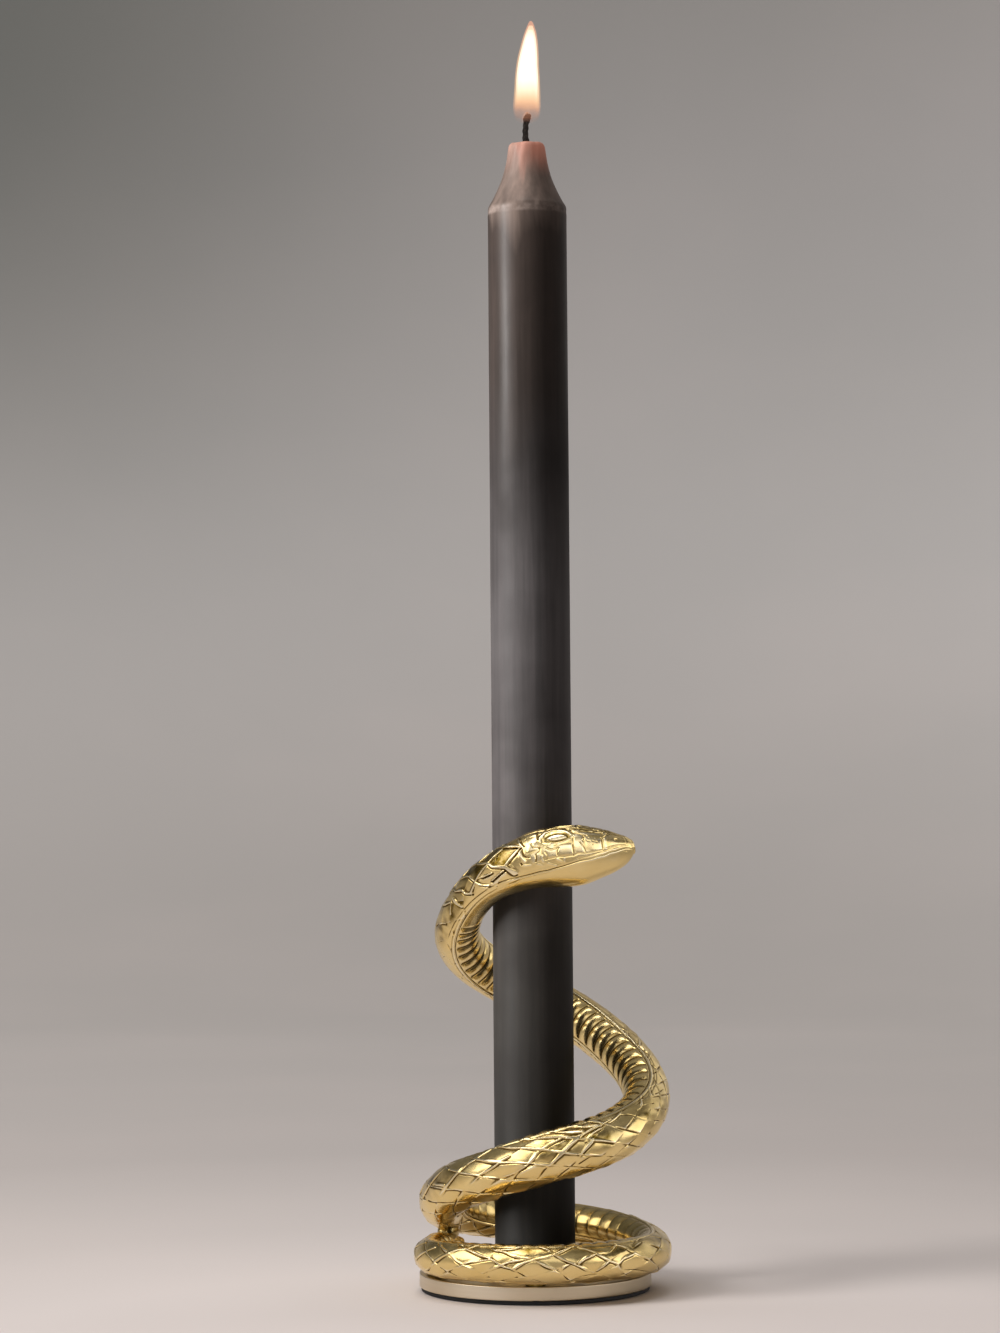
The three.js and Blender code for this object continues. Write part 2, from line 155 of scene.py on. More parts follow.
class Shader:
    """A material with one Principled shader and a few helpers for its nodes."""

    def __init__(self, name, **settings):
        self.m = bpy.data.materials.new(name)
        self.m.use_nodes = True
        self.nt = self.m.node_tree
        self.nt.nodes.clear()
        out = self.nt.nodes.new("ShaderNodeOutputMaterial")
        self.b = self.nt.nodes.new("ShaderNodeBsdfPrincipled")
        self.nt.links.new(self.b.outputs[0], out.inputs[0])
        for key, value in settings.items():
            self.b.inputs[key.replace("_", " ")].default_value = value

    def put(self, socket, value):
        if isinstance(value, bpy.types.NodeSocket):
            self.nt.links.new(value, socket)
        else:
            socket.default_value = value

    def set(self, name, value):
        self.put(self.b.inputs[name], value)

    def coords(self):
        return self.nt.nodes.new("ShaderNodeTexCoord").outputs["Object"]

    def xyz(self, vector):
        n = self.nt.nodes.new("ShaderNodeSeparateXYZ")
        self.put(n.inputs[0], vector)
        return n.outputs

    def join(self, x, y, z):
        n = self.nt.nodes.new("ShaderNodeCombineXYZ")
        for i, v in enumerate((x, y, z)):
            self.put(n.inputs[i], v)
        return n.outputs[0]

    def math(self, op, a, b=0.0, c=0.0, clamp=False):
        n = self.nt.nodes.new("ShaderNodeMath")
        n.operation = op
        n.use_clamp = clamp
        self.put(n.inputs[0], a)
        self.put(n.inputs[1], b)
        self.put(n.inputs[2], c)
        return n.outputs[0]

    def noise(self, vector, scale, detail=3.0, roughness=0.5, distortion=0.0):
        n = self.nt.nodes.new("ShaderNodeTexNoise")
        self.put(n.inputs["Vector"], vector)
        n.inputs["Scale"].default_value = scale
        n.inputs["Detail"].default_value = detail
        n.inputs["Roughness"].default_value = roughness
        n.inputs["Distortion"].default_value = distortion
        return n.outputs["Fac"]

    def scaled(self, vector, x, y, z):
        n = self.nt.nodes.new("ShaderNodeMapping")
        n.vector_type = "POINT"
        self.put(n.inputs["Vector"], vector)
        n.inputs["Scale"].default_value = (x, y, z)
        return n.outputs[0]

    def span(self, value, a, b, to_a=0.0, to_b=1.0, smooth=False):
        n = self.nt.nodes.new("ShaderNodeMapRange")
        n.interpolation_type = "SMOOTHSTEP" if smooth else "LINEAR"
        self.put(n.inputs["Value"], value)
        for key, v in zip(("From Min", "From Max", "To Min", "To Max"), (a, b, to_a, to_b)):
            n.inputs[key].default_value = v
        return n.outputs["Result"]

    def ramp(self, fac, stops):
        n = self.nt.nodes.new("ShaderNodeValToRGB")
        self.put(n.inputs[0], fac)
        e = n.color_ramp.elements
        while len(e) < len(stops):
            e.new(0.5)
        for el, (pos, col) in zip(e, sorted(stops, key=lambda s: s[0])):
            el.position = pos
            el.color = (*col, 1.0)
        return n.outputs[0]

    def mix(self, fac, a, b, mode="MIX"):
        n = self.nt.nodes.new("ShaderNodeMix")
        n.data_type = "RGBA"
        n.blend_type = mode
        n.clamp_factor = True
        self.put(n.inputs[0], fac)
        for i, v in ((6, a), (7, b)):
            if isinstance(v, tuple) and len(v) == 3:
                v = (*v, 1.0)
            self.put(n.inputs[i], v)
        return n.outputs[2]

    def attribute(self, name):
        n = self.nt.nodes.new("ShaderNodeAttribute")
        n.attribute_name = name
        return n.outputs["Fac"]

    def bump(self, height, distance, strength=1.0, normal=None):
        n = self.nt.nodes.new("ShaderNodeBump")
        n.inputs["Strength"].default_value = strength
        n.inputs["Distance"].default_value = distance
        self.put(n.inputs["Height"], height)
        if normal is not None:
            self.put(n.inputs["Normal"], normal)
        return n.outputs[0]


def gold_material():
    """Polished cast brass, lacquered gold: darker and duller in the cut lines, partly patina and partly painted shade,
    a little brighter on the edges as painted highlight, and darker where the shade attribute paints shade and dark
    reflections.
    """
    s = Shader("snake_gold", Metallic=1.0)
    p = s.coords()
    relief = s.attribute("relief")            # + in the grooves, - on the edges
    # the grooves darken as partly patina, partly painted shade; the raised edges, eye and cheeks lighten as painted
    # highlight
    groove = s.span(relief, 0.024, 0.100, 0.0, 1.0, True)
    edge = s.span(relief, -0.03, -0.12, 0.0, 1.0, True)
    cloud = s.noise(p, 95.0, 4.0, 0.55)
    fine = s.noise(p, 620.0, 3.0, 0.6)
    body = s.mix(s.span(cloud, 0.35, 0.68), (0.850, 0.640, 0.262), (0.895, 0.700, 0.325))
    body = s.mix(s.math("MULTIPLY", groove, 0.94), body, (0.100, 0.048, 0.004))
    body = s.mix(s.math("MULTIPLY", edge, 0.75), body, (0.985, 0.88, 0.61))
    shade = s.attribute("shade")              # painted shade and painted dark reflection in hollows, on the underside and on some upward scales; partly dark lacquer
    patch = s.span(s.noise(p, 900.0, 3.0, 0.6), 0.3, 0.7, 0.75, 1.15)
    body = s.mix(s.math("MULTIPLY", shade, patch, clamp=True), body, (0.140, 0.088, 0.010))
    s.set("Base Color", body)
    rough = s.span(fine, 0.3, 0.7, 0.165, 0.235)
    rough = s.math("ADD", rough, s.span(cloud, 0.35, 0.7, 0.0, 0.05))
    rough = s.math("ADD", rough, s.math("MULTIPLY", groove, 0.22))
    s.set("Roughness", rough)
    skin = s.noise(p, 330.0, 2.0, 0.5)
    grain = s.noise(p, 2600.0, 2.0, 0.6)
    n1 = s.bump(skin, 0.00009, 0.55)
    s.set("Normal", s.bump(grain, 0.000012, 0.5, n1))
    return s.m


def disc_material():
    """Satin turned brass: fine rings from the lathe on the faces and fine lines round the edge, with painted shade
    towards +X and a painted highlight left of the front.
    """
    s = Shader("disc_metal", Metallic=1.0, Anisotropic=0.35)
    p = s.coords()
    x, y, z = s.xyz(p)
    r = s.math("SQRT", s.math("ADD", s.math("MULTIPLY", x, x), s.math("MULTIPLY", y, y)))
    turn = s.join(s.math("MULTIPLY", r, 1.0), s.math("MULTIPLY", z, 1.0), 0.0)
    rings = s.noise(turn, 5200.0, 2.0, 0.6)
    around = s.noise(s.scaled(p, 1.0, 1.0, 14.0), 70.0, 4.0, 0.6)
    cloud = s.noise(p, 60.0, 3.0, 0.5)
    tone = s.mix(s.span(cloud, 0.35, 0.7), (0.640, 0.548, 0.400), (0.725, 0.632, 0.474))
    # painted shade: darker towards +X, where the side reflects the floor in the shadow
    tone = s.mix(s.span(s.math("ADD", x, s.span(cloud, 0.3, 0.7, -0.008, 0.008)), -0.004, 0.028, 0.0, 0.85, True), tone, (0.440, 0.375, 0.265))
    # painted highlight: a lighter band left of the front, where the key light is reflected
    tone = s.mix(s.span(s.math("ABSOLUTE", s.math("ADD", x, 0.014)), 0.013, 0.001, 0.0, 0.65, True), tone, (0.900, 0.825, 0.680))
    tone = s.mix(s.span(rings, 0.25, 0.75, 0.0, 0.16), tone, (0.52, 0.42, 0.29))
    s.set("Base Color", tone)
    rough = s.math("ADD", s.span(rings, 0.2, 0.8, 0.27, 0.37), s.span(around, 0.3, 0.75, -0.02, 0.05))
    s.set("Roughness", rough)
    s.set("Normal", s.bump(rings, 0.00002, 0.45))
    return s.m


def cup_material():
    """Plain turned brass of the cup, a little tarnished in patches."""
    s = Shader("cup_brass", Metallic=1.0)
    p = s.coords()
    x, y, z = s.xyz(p)
    r = s.math("SQRT", s.math("ADD", s.math("MULTIPLY", x, x), s.math("MULTIPLY", y, y)))
    rings = s.noise(s.join(r, z, 0.0), 3600.0, 2.0, 0.6)
    cloud = s.noise(p, 160.0, 5.0, 0.6, 0.4)
    tone = s.mix(s.span(cloud, 0.38, 0.72), (0.80, 0.60, 0.29), (0.56, 0.38, 0.17))
    s.set("Base Color", tone)
    s.set("Roughness", s.math("ADD", s.span(rings, 0.2, 0.8, 0.24, 0.34), s.span(cloud, 0.4, 0.75, 0.0, 0.16)))
    s.set("Normal", s.bump(rings, 0.00002, 0.5))
    return s.m


def steel_material():
    """Turned and zinc-plated steel of the pricket and the screws."""
    s = Shader("screw_steel", Metallic=1.0)
    p = s.coords()
    x, y, z = s.xyz(p)
    lines = s.noise(s.join(s.math("MULTIPLY", x, 0.06), s.math("MULTIPLY", y, 0.06), z), 4200.0, 2.0, 0.6)
    cloud = s.noise(p, 260.0, 4.0, 0.6)
    s.set("Base Color", s.mix(s.span(cloud, 0.35, 0.7), (0.66, 0.67, 0.68), (0.50, 0.50, 0.50)))
    s.set("Roughness", s.math("ADD", s.span(lines, 0.2, 0.8, 0.22, 0.36), s.span(cloud, 0.4, 0.75, 0.0, 0.08)))
    s.set("Normal", s.bump(lines, 0.00002, 0.6))
    return s.m


def pad_material():
    """Matt black rubber with a fine grain."""
    s = Shader("pad_rubber", Metallic=0.0)
    s.b.inputs["Specular IOR Level"].default_value = 0.35
    p = s.coords()
    grain = s.noise(p, 2400.0, 4.0, 0.65)
    cloud = s.noise(p, 120.0, 3.0, 0.5)
    s.set("Base Color", s.mix(s.span(cloud, 0.35, 0.7), (0.007, 0.007, 0.008), (0.014, 0.0135, 0.014)))
    s.set("Roughness", s.span(grain, 0.25, 0.75, 0.62, 0.85))
    s.set("Normal", s.bump(grain, 0.00006, 0.6))
    return s.m


def wax_material():
    """Wax with painted light: brown and pinkish near the flame as if lit by it, a lighter slate band in the middle as
    if lit by smoke in front of it, and almost black at the foot, with faint streaks from dipping.
    """
    s = Shader("wax", Metallic=0.0)
    s.b.inputs["Specular IOR Level"].default_value = 0.12
    s.b.inputs["IOR"].default_value = 1.45
    p = s.coords()
    x, y, z = s.xyz(p)
    streak = s.noise(s.scaled(p, 1.0, 1.0, 0.035), 520.0, 5.0, 0.62)
    drift = s.noise(s.scaled(p, 1.0, 1.0, 0.25), 55.0, 4.0, 0.55, 0.6)
    blot = s.noise(p, 38.0, 3.0, 0.5)
    level = s.math("ADD", z, s.span(drift, 0.3, 0.7, -0.012, 0.012))
    fac = s.span(level, 0.0, 0.32)
    # painted light: the ramp is brown and pinkish near the flame, as lit by it, and lighter in a band in the middle, as
    # lit smoke; darker towards the foot
    tone = s.ramp(fac, [
        (0.00, (0.0102, 0.0105, 0.0099)), (0.14, (0.0156, 0.0149, 0.0137)), (0.28, (0.0260, 0.0241, 0.0218)),
        (0.42, (0.0540, 0.0500, 0.0506)), (0.58, (0.0540, 0.0505, 0.0515)), (0.70, (0.0255, 0.0227, 0.0223)),
        (0.78, (0.0232, 0.0186, 0.0167)), (0.895, (0.0300, 0.0228, 0.0198)), (0.925, (0.0900, 0.0690, 0.0590)), (0.955, (0.1300, 0.0950, 0.0800)), (0.985, (0.3300, 0.1750, 0.1380))])
    tone = s.mix(s.span(streak, 0.38, 0.70, 0.0, 0.55), tone, s.mix(1.0, tone, (1.70, 1.66, 1.66), "MULTIPLY"))
    tone = s.mix(s.span(blot, 0.42, 0.68, 0.0, 0.42), tone, (0.0100, 0.0083, 0.0080))
    # painted highlight: a lighter band along the shoulder where light catches its edge
    rim = s.math("MULTIPLY", s.span(z, 0.2938, 0.2948, 0.0, 1.0, True), s.span(z, 0.2968, 0.2954, 0.0, 1.0, True))
    tone = s.mix(s.math("MULTIPLY", rim, s.span(s.noise(p, 260.0, 3.0, 0.6), 0.38, 0.62, 0.10, 0.80)), tone, (0.190, 0.152, 0.135))
    s.set("Base Color", tone)
    worn = s.math("ADD", s.span(blot, 0.35, 0.7, -0.03, 0.06), s.span(z, 0.262, 0.200, 0.0, 0.17, True))
    s.set("Roughness", s.math("ADD", s.span(streak, 0.3, 0.75, 0.32, 0.46), worn))
    n1 = s.bump(streak, 0.00005, 0.35)
    lumps = s.noise(p, 150.0, 3.0, 0.5)
    s.set("Normal", s.bump(lumps, 0.00016, 0.4, n1))
    # light of the flame inside the last millimetres of wax
    glow = s.span(z, 0.3035, 0.3145, 0.0, 1.0, True)
    s.set("Emission Color", s.mix(glow, (0.0, 0.0, 0.0), (0.60, 0.20, 0.125)))
    s.b.inputs["Emission Strength"].default_value = 0.28
    return s.m


def wick_material():
    """Charred cotton: black, with a brown end where the flame holds it."""
    s = Shader("wick_cotton", Metallic=0.0)
    s.b.inputs["Specular IOR Level"].default_value = 0.3
    p = s.coords()
    x, y, z = s.xyz(p)
    fibre = s.noise(s.scaled(p, 1.0, 1.0, 0.4), 2600.0, 4.0, 0.7)
    ash = s.noise(p, 900.0, 4.0, 0.6)
    tone = s.mix(s.span(ash, 0.4, 0.72), (0.010, 0.008, 0.007), (0.040, 0.030, 0.024))
    cotton = s.span(z, 0.3134, 0.3124, 0.0, 1.0, True)
    tone = s.mix(cotton, tone, (0.42, 0.36, 0.30))
    tip = s.span(z, 0.3195, 0.3222, 0.0, 1.0, True)
    tone = s.mix(tip, tone, (0.030, 0.013, 0.008))
    s.set("Base Color", tone)
    s.set("Roughness", s.span(fibre, 0.3, 0.7, 0.75, 0.95))
    s.set("Normal", s.bump(fibre, 0.00018, 0.8))
    s.set("Emission Color", s.mix(tip, (0.0, 0.0, 0.0), (0.25, 0.06, 0.02)))
    s.b.inputs["Emission Strength"].default_value = 0.12
    return s.m


def flame_material(name, stops, strength, alpha, z0, z1):
    """Burning gas: only light, by height inside the flame, with a fixed share of it let through."""
    s = Shader(name, Metallic=0.0, Roughness=1.0)
    s.b.inputs["Specular IOR Level"].default_value = 0.0
    s.b.inputs["Base Color"].default_value = (0.0, 0.0, 0.0, 1.0)
    p = s.coords()
    x, y, z = s.xyz(p)
    wave = s.noise(s.scaled(p, 1.0, 1.0, 0.35), 210.0, 2.0, 0.5)
    level = s.math("ADD", z, s.span(wave, 0.3, 0.7, -0.0007, 0.0007))
    fac = s.span(level, z0 * MM, z1 * MM)
    s.set("Emission Color", s.ramp(fac, stops))
    s.b.inputs["Emission Strength"].default_value = strength
    if isinstance(alpha, list):
        s.set("Alpha", s.ramp(fac, [(pos, (a, a, a)) for pos, a in alpha]))
    else:
        s.b.inputs["Alpha"].default_value = alpha
    return s.m


MAT_GOLD = gold_material()
MAT_DISC = disc_material()
MAT_CUP = cup_material()
MAT_STEEL = steel_material()
MAT_PAD = pad_material()
MAT_WAX = wax_material()
MAT_WICK = wick_material()

# -------------------------------------------------------------------- snake
#
# Millimetres until the meshes are made. s runs along the centre line from the
# tail's end, c round the body from the middle of the back (c grows downwards
# on the outside of the coil, and towards -Y on the head).

COIL = np.array([
    [-220, 27.3, 10.35, 1.55], [-211, 27.5, 11.05, 2.45], [-200, 27.7, 11.10, 3.40], [-180, 28.5, 10.25, 4.15],
    [-160, 29.85, 10.25, 4.85], [-120, 31.0, 10.85, 5.30], [-80, 31.8, 10.90, 5.45], [-40, 32.8, 10.90, 5.50],
    [0, 31.95, 10.95, 5.45], [40, 29.8, 13.00, 5.50], [80, 30.2, 14.50, 5.75], [120, 29.9, 16.90, 6.15],
    [160, 26.8, 22.00, 6.55], [200, 22.7, 28.50, 6.80], [240, 22.3, 33.30, 6.93], [280, 25.9, 38.85, 7.15],
    [320, 29.0, 44.00, 7.08], [360, 30.85, 52.20, 6.58], [400, 30.2, 63.70, 6.88], [440, 30.5, 75.60, 7.00],
    [480, 27.0, 86.20, 7.00], [520, 22.2, 95.90, 6.45], [560, 18.3, 105.95, 5.87], [590, 17.9, 111.90, 6.15],
    [620, 18.9, 116.10, 7.20]], float)
HEAD = np.array([
    [2.1, -19.10, 117.70, 7.25, 8.05], [7.5, -19.20, 118.30, 7.35, 8.45], [12.9, -18.85, 118.68, 7.00, 8.40],
    [18.2, -18.10, 119.20, 5.90, 6.95], [21.0, -17.65, 119.50, 5.05, 6.05], [23.7, -17.10, 119.98, 4.05, 4.80],
    [25.8, -16.70, 120.60, 2.95, 3.50], [27.0, -16.45, 120.85, 1.90, 2.20]], float)
SNOUT = np.array([27.65, -16.3, 120.8])
BACK_TURN = np.array([[-230, 0], [470, 0], [520, 18], [560, 48], [590, 66], [620, 78], [660, 80], [720, 80]], float)
TAIL_CAP = 0.9
STEP = 0.1


def curve(knots, values, t):
    """Cubic Hermite curve through the knots, with slopes weighted by their spacing."""
    knots, values, t = (np.asarray(v, float) for v in (knots, values, t))
    h = np.diff(knots)
    d = np.diff(values) / h
    m = np.empty(len(knots))
    m[0], m[-1] = d[0], d[-1]
    m[1:-1] = (d[:-1] * h[1:] + d[1:] * h[:-1]) / (h[:-1] + h[1:])
    i = np.clip(np.searchsorted(knots, t, side="left") - 1, 0, len(knots) - 2)
    u = np.clip((t - knots[i]) / h[i], 0, 1)
    return ((2 * u**3 - 3 * u**2 + 1) * values[i] + (u**3 - 2 * u**2 + u) * m[i] * h[i]
            + (-2 * u**3 + 3 * u**2) * values[i + 1] + (u**3 - u**2) * m[i + 1] * h[i])


def unit(v):
    return v / np.maximum(np.linalg.norm(v, axis=-1, keepdims=True), 1e-12)


def smoothed(v, sigma):
    """Gaussian blur of a row of numbers along the centre line; sigma in mm."""
    n = int(4 * sigma / STEP)
    k = np.exp(-0.5 * (np.arange(-n, n + 1) * STEP / sigma) ** 2)
    k /= k.sum()
    wide = np.concatenate([2 * v[:1] - v[n:0:-1], v, 2 * v[-1:] - v[-2:-n - 2:-1]])
    return np.convolve(wide, k, "valid")


def centreline():
    th = np.arange(-220, 620.001, 0.25)
    R, z, r = (curve(COIL[:, 0], COIL[:, k], th) for k in (1, 2, 3))
    turn = curve(BACK_TURN[:, 0], BACK_TURN[:, 1], th)
    a = np.radians(th)
    coil = np.stack([R * np.cos(a), R * np.sin(a), z], 1)
    rows = np.vstack([[coil[-1, 0], coil[-1, 1], coil[-1, 2], r[-1], r[-1]], HEAD])
    hx = np.arange(rows[0, 0] + 0.05, 27.0001, 0.05)
    head = np.stack([hx, curve(rows[:, 0], rows[:, 1], hx), curve(rows[:, 0], rows[:, 2], hx)], 1)
    pts = np.vstack([coil, head])
    w = np.r_[r, curve(rows[:, 0], rows[:, 3], hx)]
    h = np.r_[r, curve(rows[:, 0], rows[:, 4], hx)]
    angle = np.r_[th, 620 + np.minimum(1, (hx - rows[0, 0]) / 6.0) * 10]
    turn = np.r_[turn, 78 + np.clip((hx - rows[0, 0]) / 8, 0, 1) * 2]
    s = np.r_[0, np.cumsum(np.linalg.norm(np.diff(pts, axis=0), axis=1))]
    S = np.arange(0, s[-1], STEP)
    P = np.stack([smoothed(np.interp(S, s, pts[:, k]), 1.2) for k in range(3)], 1)
    W, H = (smoothed(np.interp(S, s, v), 0.8) for v in (w, h))
    A, T = (smoothed(np.interp(S, s, v), 2.5) for v in (angle, turn))
    along = unit(np.gradient(P, axis=0))
    ar, tr = np.radians(A), np.radians(T)[:, None]
    out = np.stack([np.cos(ar), np.sin(ar), np.zeros_like(ar)], 1)
    out = unit(out - (out * along).sum(1, keepdims=True) * along)
    up = unit(np.cross(along, out))
    up = np.where(up[:, 2:3] < 0, -up, up)
    back = unit(out * np.cos(tr) + up * np.sin(tr))
    return S, P, W, H, along, back, unit(np.cross(along, back))


S, P, W, H, ALONG, BACK, SIDE = centreline()
COLS = 480
N = len(S)
Q = -math.pi + 2 * math.pi * np.arange(COLS) / COLS
MIRROR = (COLS - np.arange(COLS)) % COLS
REFF = np.sqrt((W**2 + H**2) / 2)
# the pattern's own measure along the body, a little off the centre line's length
SL = S + np.interp(S, [0, 10, 20, 30, 118, 130, 203, 256, 276, 299, 311, 323, 431],
                   [0, 0.04, 0.14, 0.18, 0.147, 0.123, 0.143, 0.174, 0.208, 0.29, 0.264, 0.205, 0.20])
SS = np.repeat(SL[:, None], COLS, 1)
CC = REFF[:, None] * Q[None, :]
HEAD_S = 431.0


def ease(x, a, b):
    """0 before a, 1 after b, smooth between; a may be above b."""
    t = np.clip((x - a) / (b - a), 0, 1)
    return t * t * (3 - 2 * t)


def box(x, a, b, soft):
    return ease(x, a - soft, a + soft) * (1 - ease(x, b - soft, b + soft))


def by_s(rows):
    rows = np.array(rows, float)
    return smoothed(np.interp(SL, rows[:, 0], rows[:, 1]), 3.0)


# Edges of the belly, in degrees from the middle of the back, above and below.
BELLY_UP = np.radians(by_s([
    (0, 75), (55, 78), (87, 78), (100, 98), (118, 112), (150, 115), (240, 110), (265, 108), (300, 108),
    (310, 112), (320, 125), (340, 128), (400, 120), (431, 114), (465, 114)]))
BELLY_LOW = np.radians(by_s([(0, 125), (90, 130), (150, 130), (300, 138), (335, 138), (370, 118), (405, 114), (465, 114)]))
INSIDE = np.where(Q[None, :] < 0, (-Q[None, :] - BELLY_UP[:, None]), (Q[None, :] - BELLY_LOW[:, None])) * REFF[:, None]
BELLY_END = 1 - ease(SL, 402, 409)[:, None]
IN_BELLY = ease(INSIDE, -0.1, 0.7)

# Lines of the scales that run back and down ("fall") and back and up ("rise"),
# as (s, c) points, by zone of the body. A line is (points, height, cut, width).

def line(points, height=1.0, cut=1.0, width=1.0):
    return (np.array(points, float), height, cut, width)


FALL_RING = [
    line([(30, -6.5), (33, -5.2), (36.2, -3.3), (38.5, -1.9), (41.5, 0), (43.5, 1.3), (45.4, 2.3), (48, 4), (51, 5.6)]),
    line([(39.5, -6.8), (42.5, -4.7), (44.5, -3.6), (46.6, -2.6), (48.3, -1.2), (50.3, -0.4), (52.3, 0.3), (55.4, 2), (58.5, 3.9), (61, 5)]),
    line([(46, -7.7), (48.5, -6.2), (50.2, -5.1), (52.5, -4.2), (54.5, -3.3), (56.5, -2.7), (58, -2.2), (60, -0.8), (62.5, 0.1), (64.5, 1.4), (66.3, 2.8), (69, 4.4)], 1.0, 1.2),
    line([(54.5, -8.5), (56.5, -7.3), (57.8, -5.2), (60, -4.9), (61.5, -4.3), (63, -3.6), (64.5, -3.1), (66.8, -2.9), (68.8, -2), (70.5, -0.8), (72.3, 0.1), (74.5, 2), (76, 3.7), (78, 5)], 1.1, 1.2),
    line([(69.3, -7), (71.5, -5.2), (72.7, -4.1), (75, -2.2), (77.8, -1), (80, 0.4), (82.3, 1.5), (84, 2.4), (86.5, 4), (89, 5.5)], 1.2, 1.1),
    line([(78.6, -6.6), (80.5, -5.6), (82.6, -4.2), (84.2, -2.9), (85.4, -2), (87.8, -0.8), (88.4, 0.2), (89.5, 1.8), (91.5, 3.6)]),
    line([(88.5, -7), (90.5, -5.8), (92.3, -4), (94, -2.8), (96, -1.8), (98.5, -0.6), (101, 0.8), (103, 2)], 0.7),
]
FALL_RING_EXTRA = [line([(89.6, 1), (92.5, 1.3), (95.5, 2), (99, 3)], 0.4, 0.8), line([(97, -7.3), (100, -5.8)], 0.4, 0.6)]
RISE_RING = [
    line([(32, 0), (36, -2.6), (39.5, -4.5)]),
    line([(36, 3.2), (38.2, 2), (41.3, -0.3), (45.4, -3.2), (48, -4.7), (50.2, -5.3), (52.6, -6.8)], 1.35, 1.2, 1.35),
    line([(45.6, 1.9), (47.8, 0.9), (50.2, -0.4), (52, -1.2), (54.5, -1.8), (57.6, -2.4)]),
    line([(55.4, 1.8), (57.5, 0.4), (59.9, -0.9), (62.5, -2), (66.6, -2.9)]),
    line([(62.9, 0), (64.3, -1.2), (65.5, -2), (67.3, -2.7), (69.5, -3.3), (72.3, -4.3), (74, -5.3), (76.4, -6.8)], 1.25, 1.0, 1.2),
    line([(58.6, 4.3), (61, 3.6), (63.6, 2.6)], 0.5),
    line([(57.9, -5.2), (60.5, -5.6), (62.2, -6), (64, -6.9)]),
    line([(66.3, 2.8), (68.2, 1.6), (70.2, 0.8), (72.2, 0.2)]),
    line([(73.2, 0.5), (74.6, -0.8), (75.6, -1.4)]),
    line([(77.9, -1.5), (79.5, -2.9), (81.8, -4)], 1.1, 1.2),
    line([(83.2, -4.2), (85.5, -4.4), (87.2, -5.5), (88.5, -6.8)]),
    line([(76.3, 3.7), (78, 2.6), (80, 2), (82.3, 1.6)]),
    line([(82.4, 0.7), (84, -0.7), (85.2, -1.8)], 1.1, 1.8),
    line([(88.1, -0.9), (89.2, -2.1), (90.5, -2.7), (92.2, -3.2)]),
    line([(93.5, -5.3), (97, -6.6)], 0.6, 1.3),
    line([(95, -1.7), (99, -2.3)], 0.4, 0.7),
]
FALL_SECOND = [
    line([(212.5, -3.2), (215.5, -1.9), (218.3, -0.6), (221, 0.2), (224.5, 1.2), (228, 2), (231, 2.6)], 0.9, 1.7),
    line([(218, -5.8), (222, -4.4), (225, -3.6), (227.2, -2.9), (229.3, -2.3), (232.5, -1.3), (235.5, -0.1), (238.7, 1.5), (241.5, 2.2)], 1.0, 1.3),
    line([(229, -8.3), (232.4, -6.9), (236, -5.6), (239.5, -4.3), (243.3, -2.9), (246, -1.7), (248.5, -0.9), (252, 0.5), (255, 1.6)]),
    line([(238, -9.8), (241, -8.5), (244.5, -7.2), (248, -6.3), (251.2, -5), (254.5, -3.6), (258, -1.9), (261.5, -0.1), (264.5, 1.4), (266.5, 2.4)], 1.0, 1.3),
    line([(244.3, -12.9), (247.2, -11.2), (249.3, -10.2), (252, -9.2), (254.5, -7.9), (257, -6.7), (259.5, -5.3), (262, -4), (264.7, -2.9), (267.3, -1.9), (270.2, -0.3), (273.5, 1.3)]),
    line([(249.8, -13.9), (253, -12.4), (256.5, -11.1), (259.8, -9.8), (262.6, -8.5), (265.5, -7.2), (268.3, -5.8), (271, -4.2), (273.7, -2.6), (276.2, -0.9), (278.5, 0.9)]),
    line([(267.4, -14.2), (268.8, -12.4), (270.2, -10.6), (272, -9), (274.3, -6.9), (276.5, -5.2), (278.8, -3.4), (281.5, -1.7)]),
    line([(276.5, -11.5), (278.5, -9.9), (280.2, -7.6), (281.5, -6.4), (284, -4.8), (286.5, -3.2), (288.5, -2)]),
]
FALL_SECOND_EXTRA = [
    line([(221, -5.3), (226.8, -4)], 1.3, 0.6, 1.4),
    line([(256.5, -14.8), (259.3, -12.4), (262, -10.9), (264.6, -9.9)], 1.4, 1.0, 1.6),
    line([(261.8, -14.2), (264, -12.6), (266.3, -11.2), (269.5, -10.2)], 1.4, 1.0, 1.6),
    line([(267.4, -14.2), (268.8, -12.4), (270.2, -10.6)], 1.4, 1.0, 1.6),
    line([(283.5, -10), (285.5, -9.4), (287.5, -8.5)], 0.5),
    line([(291.5, -9.5), (296, -7.8)], 0.3, 0.8),
]
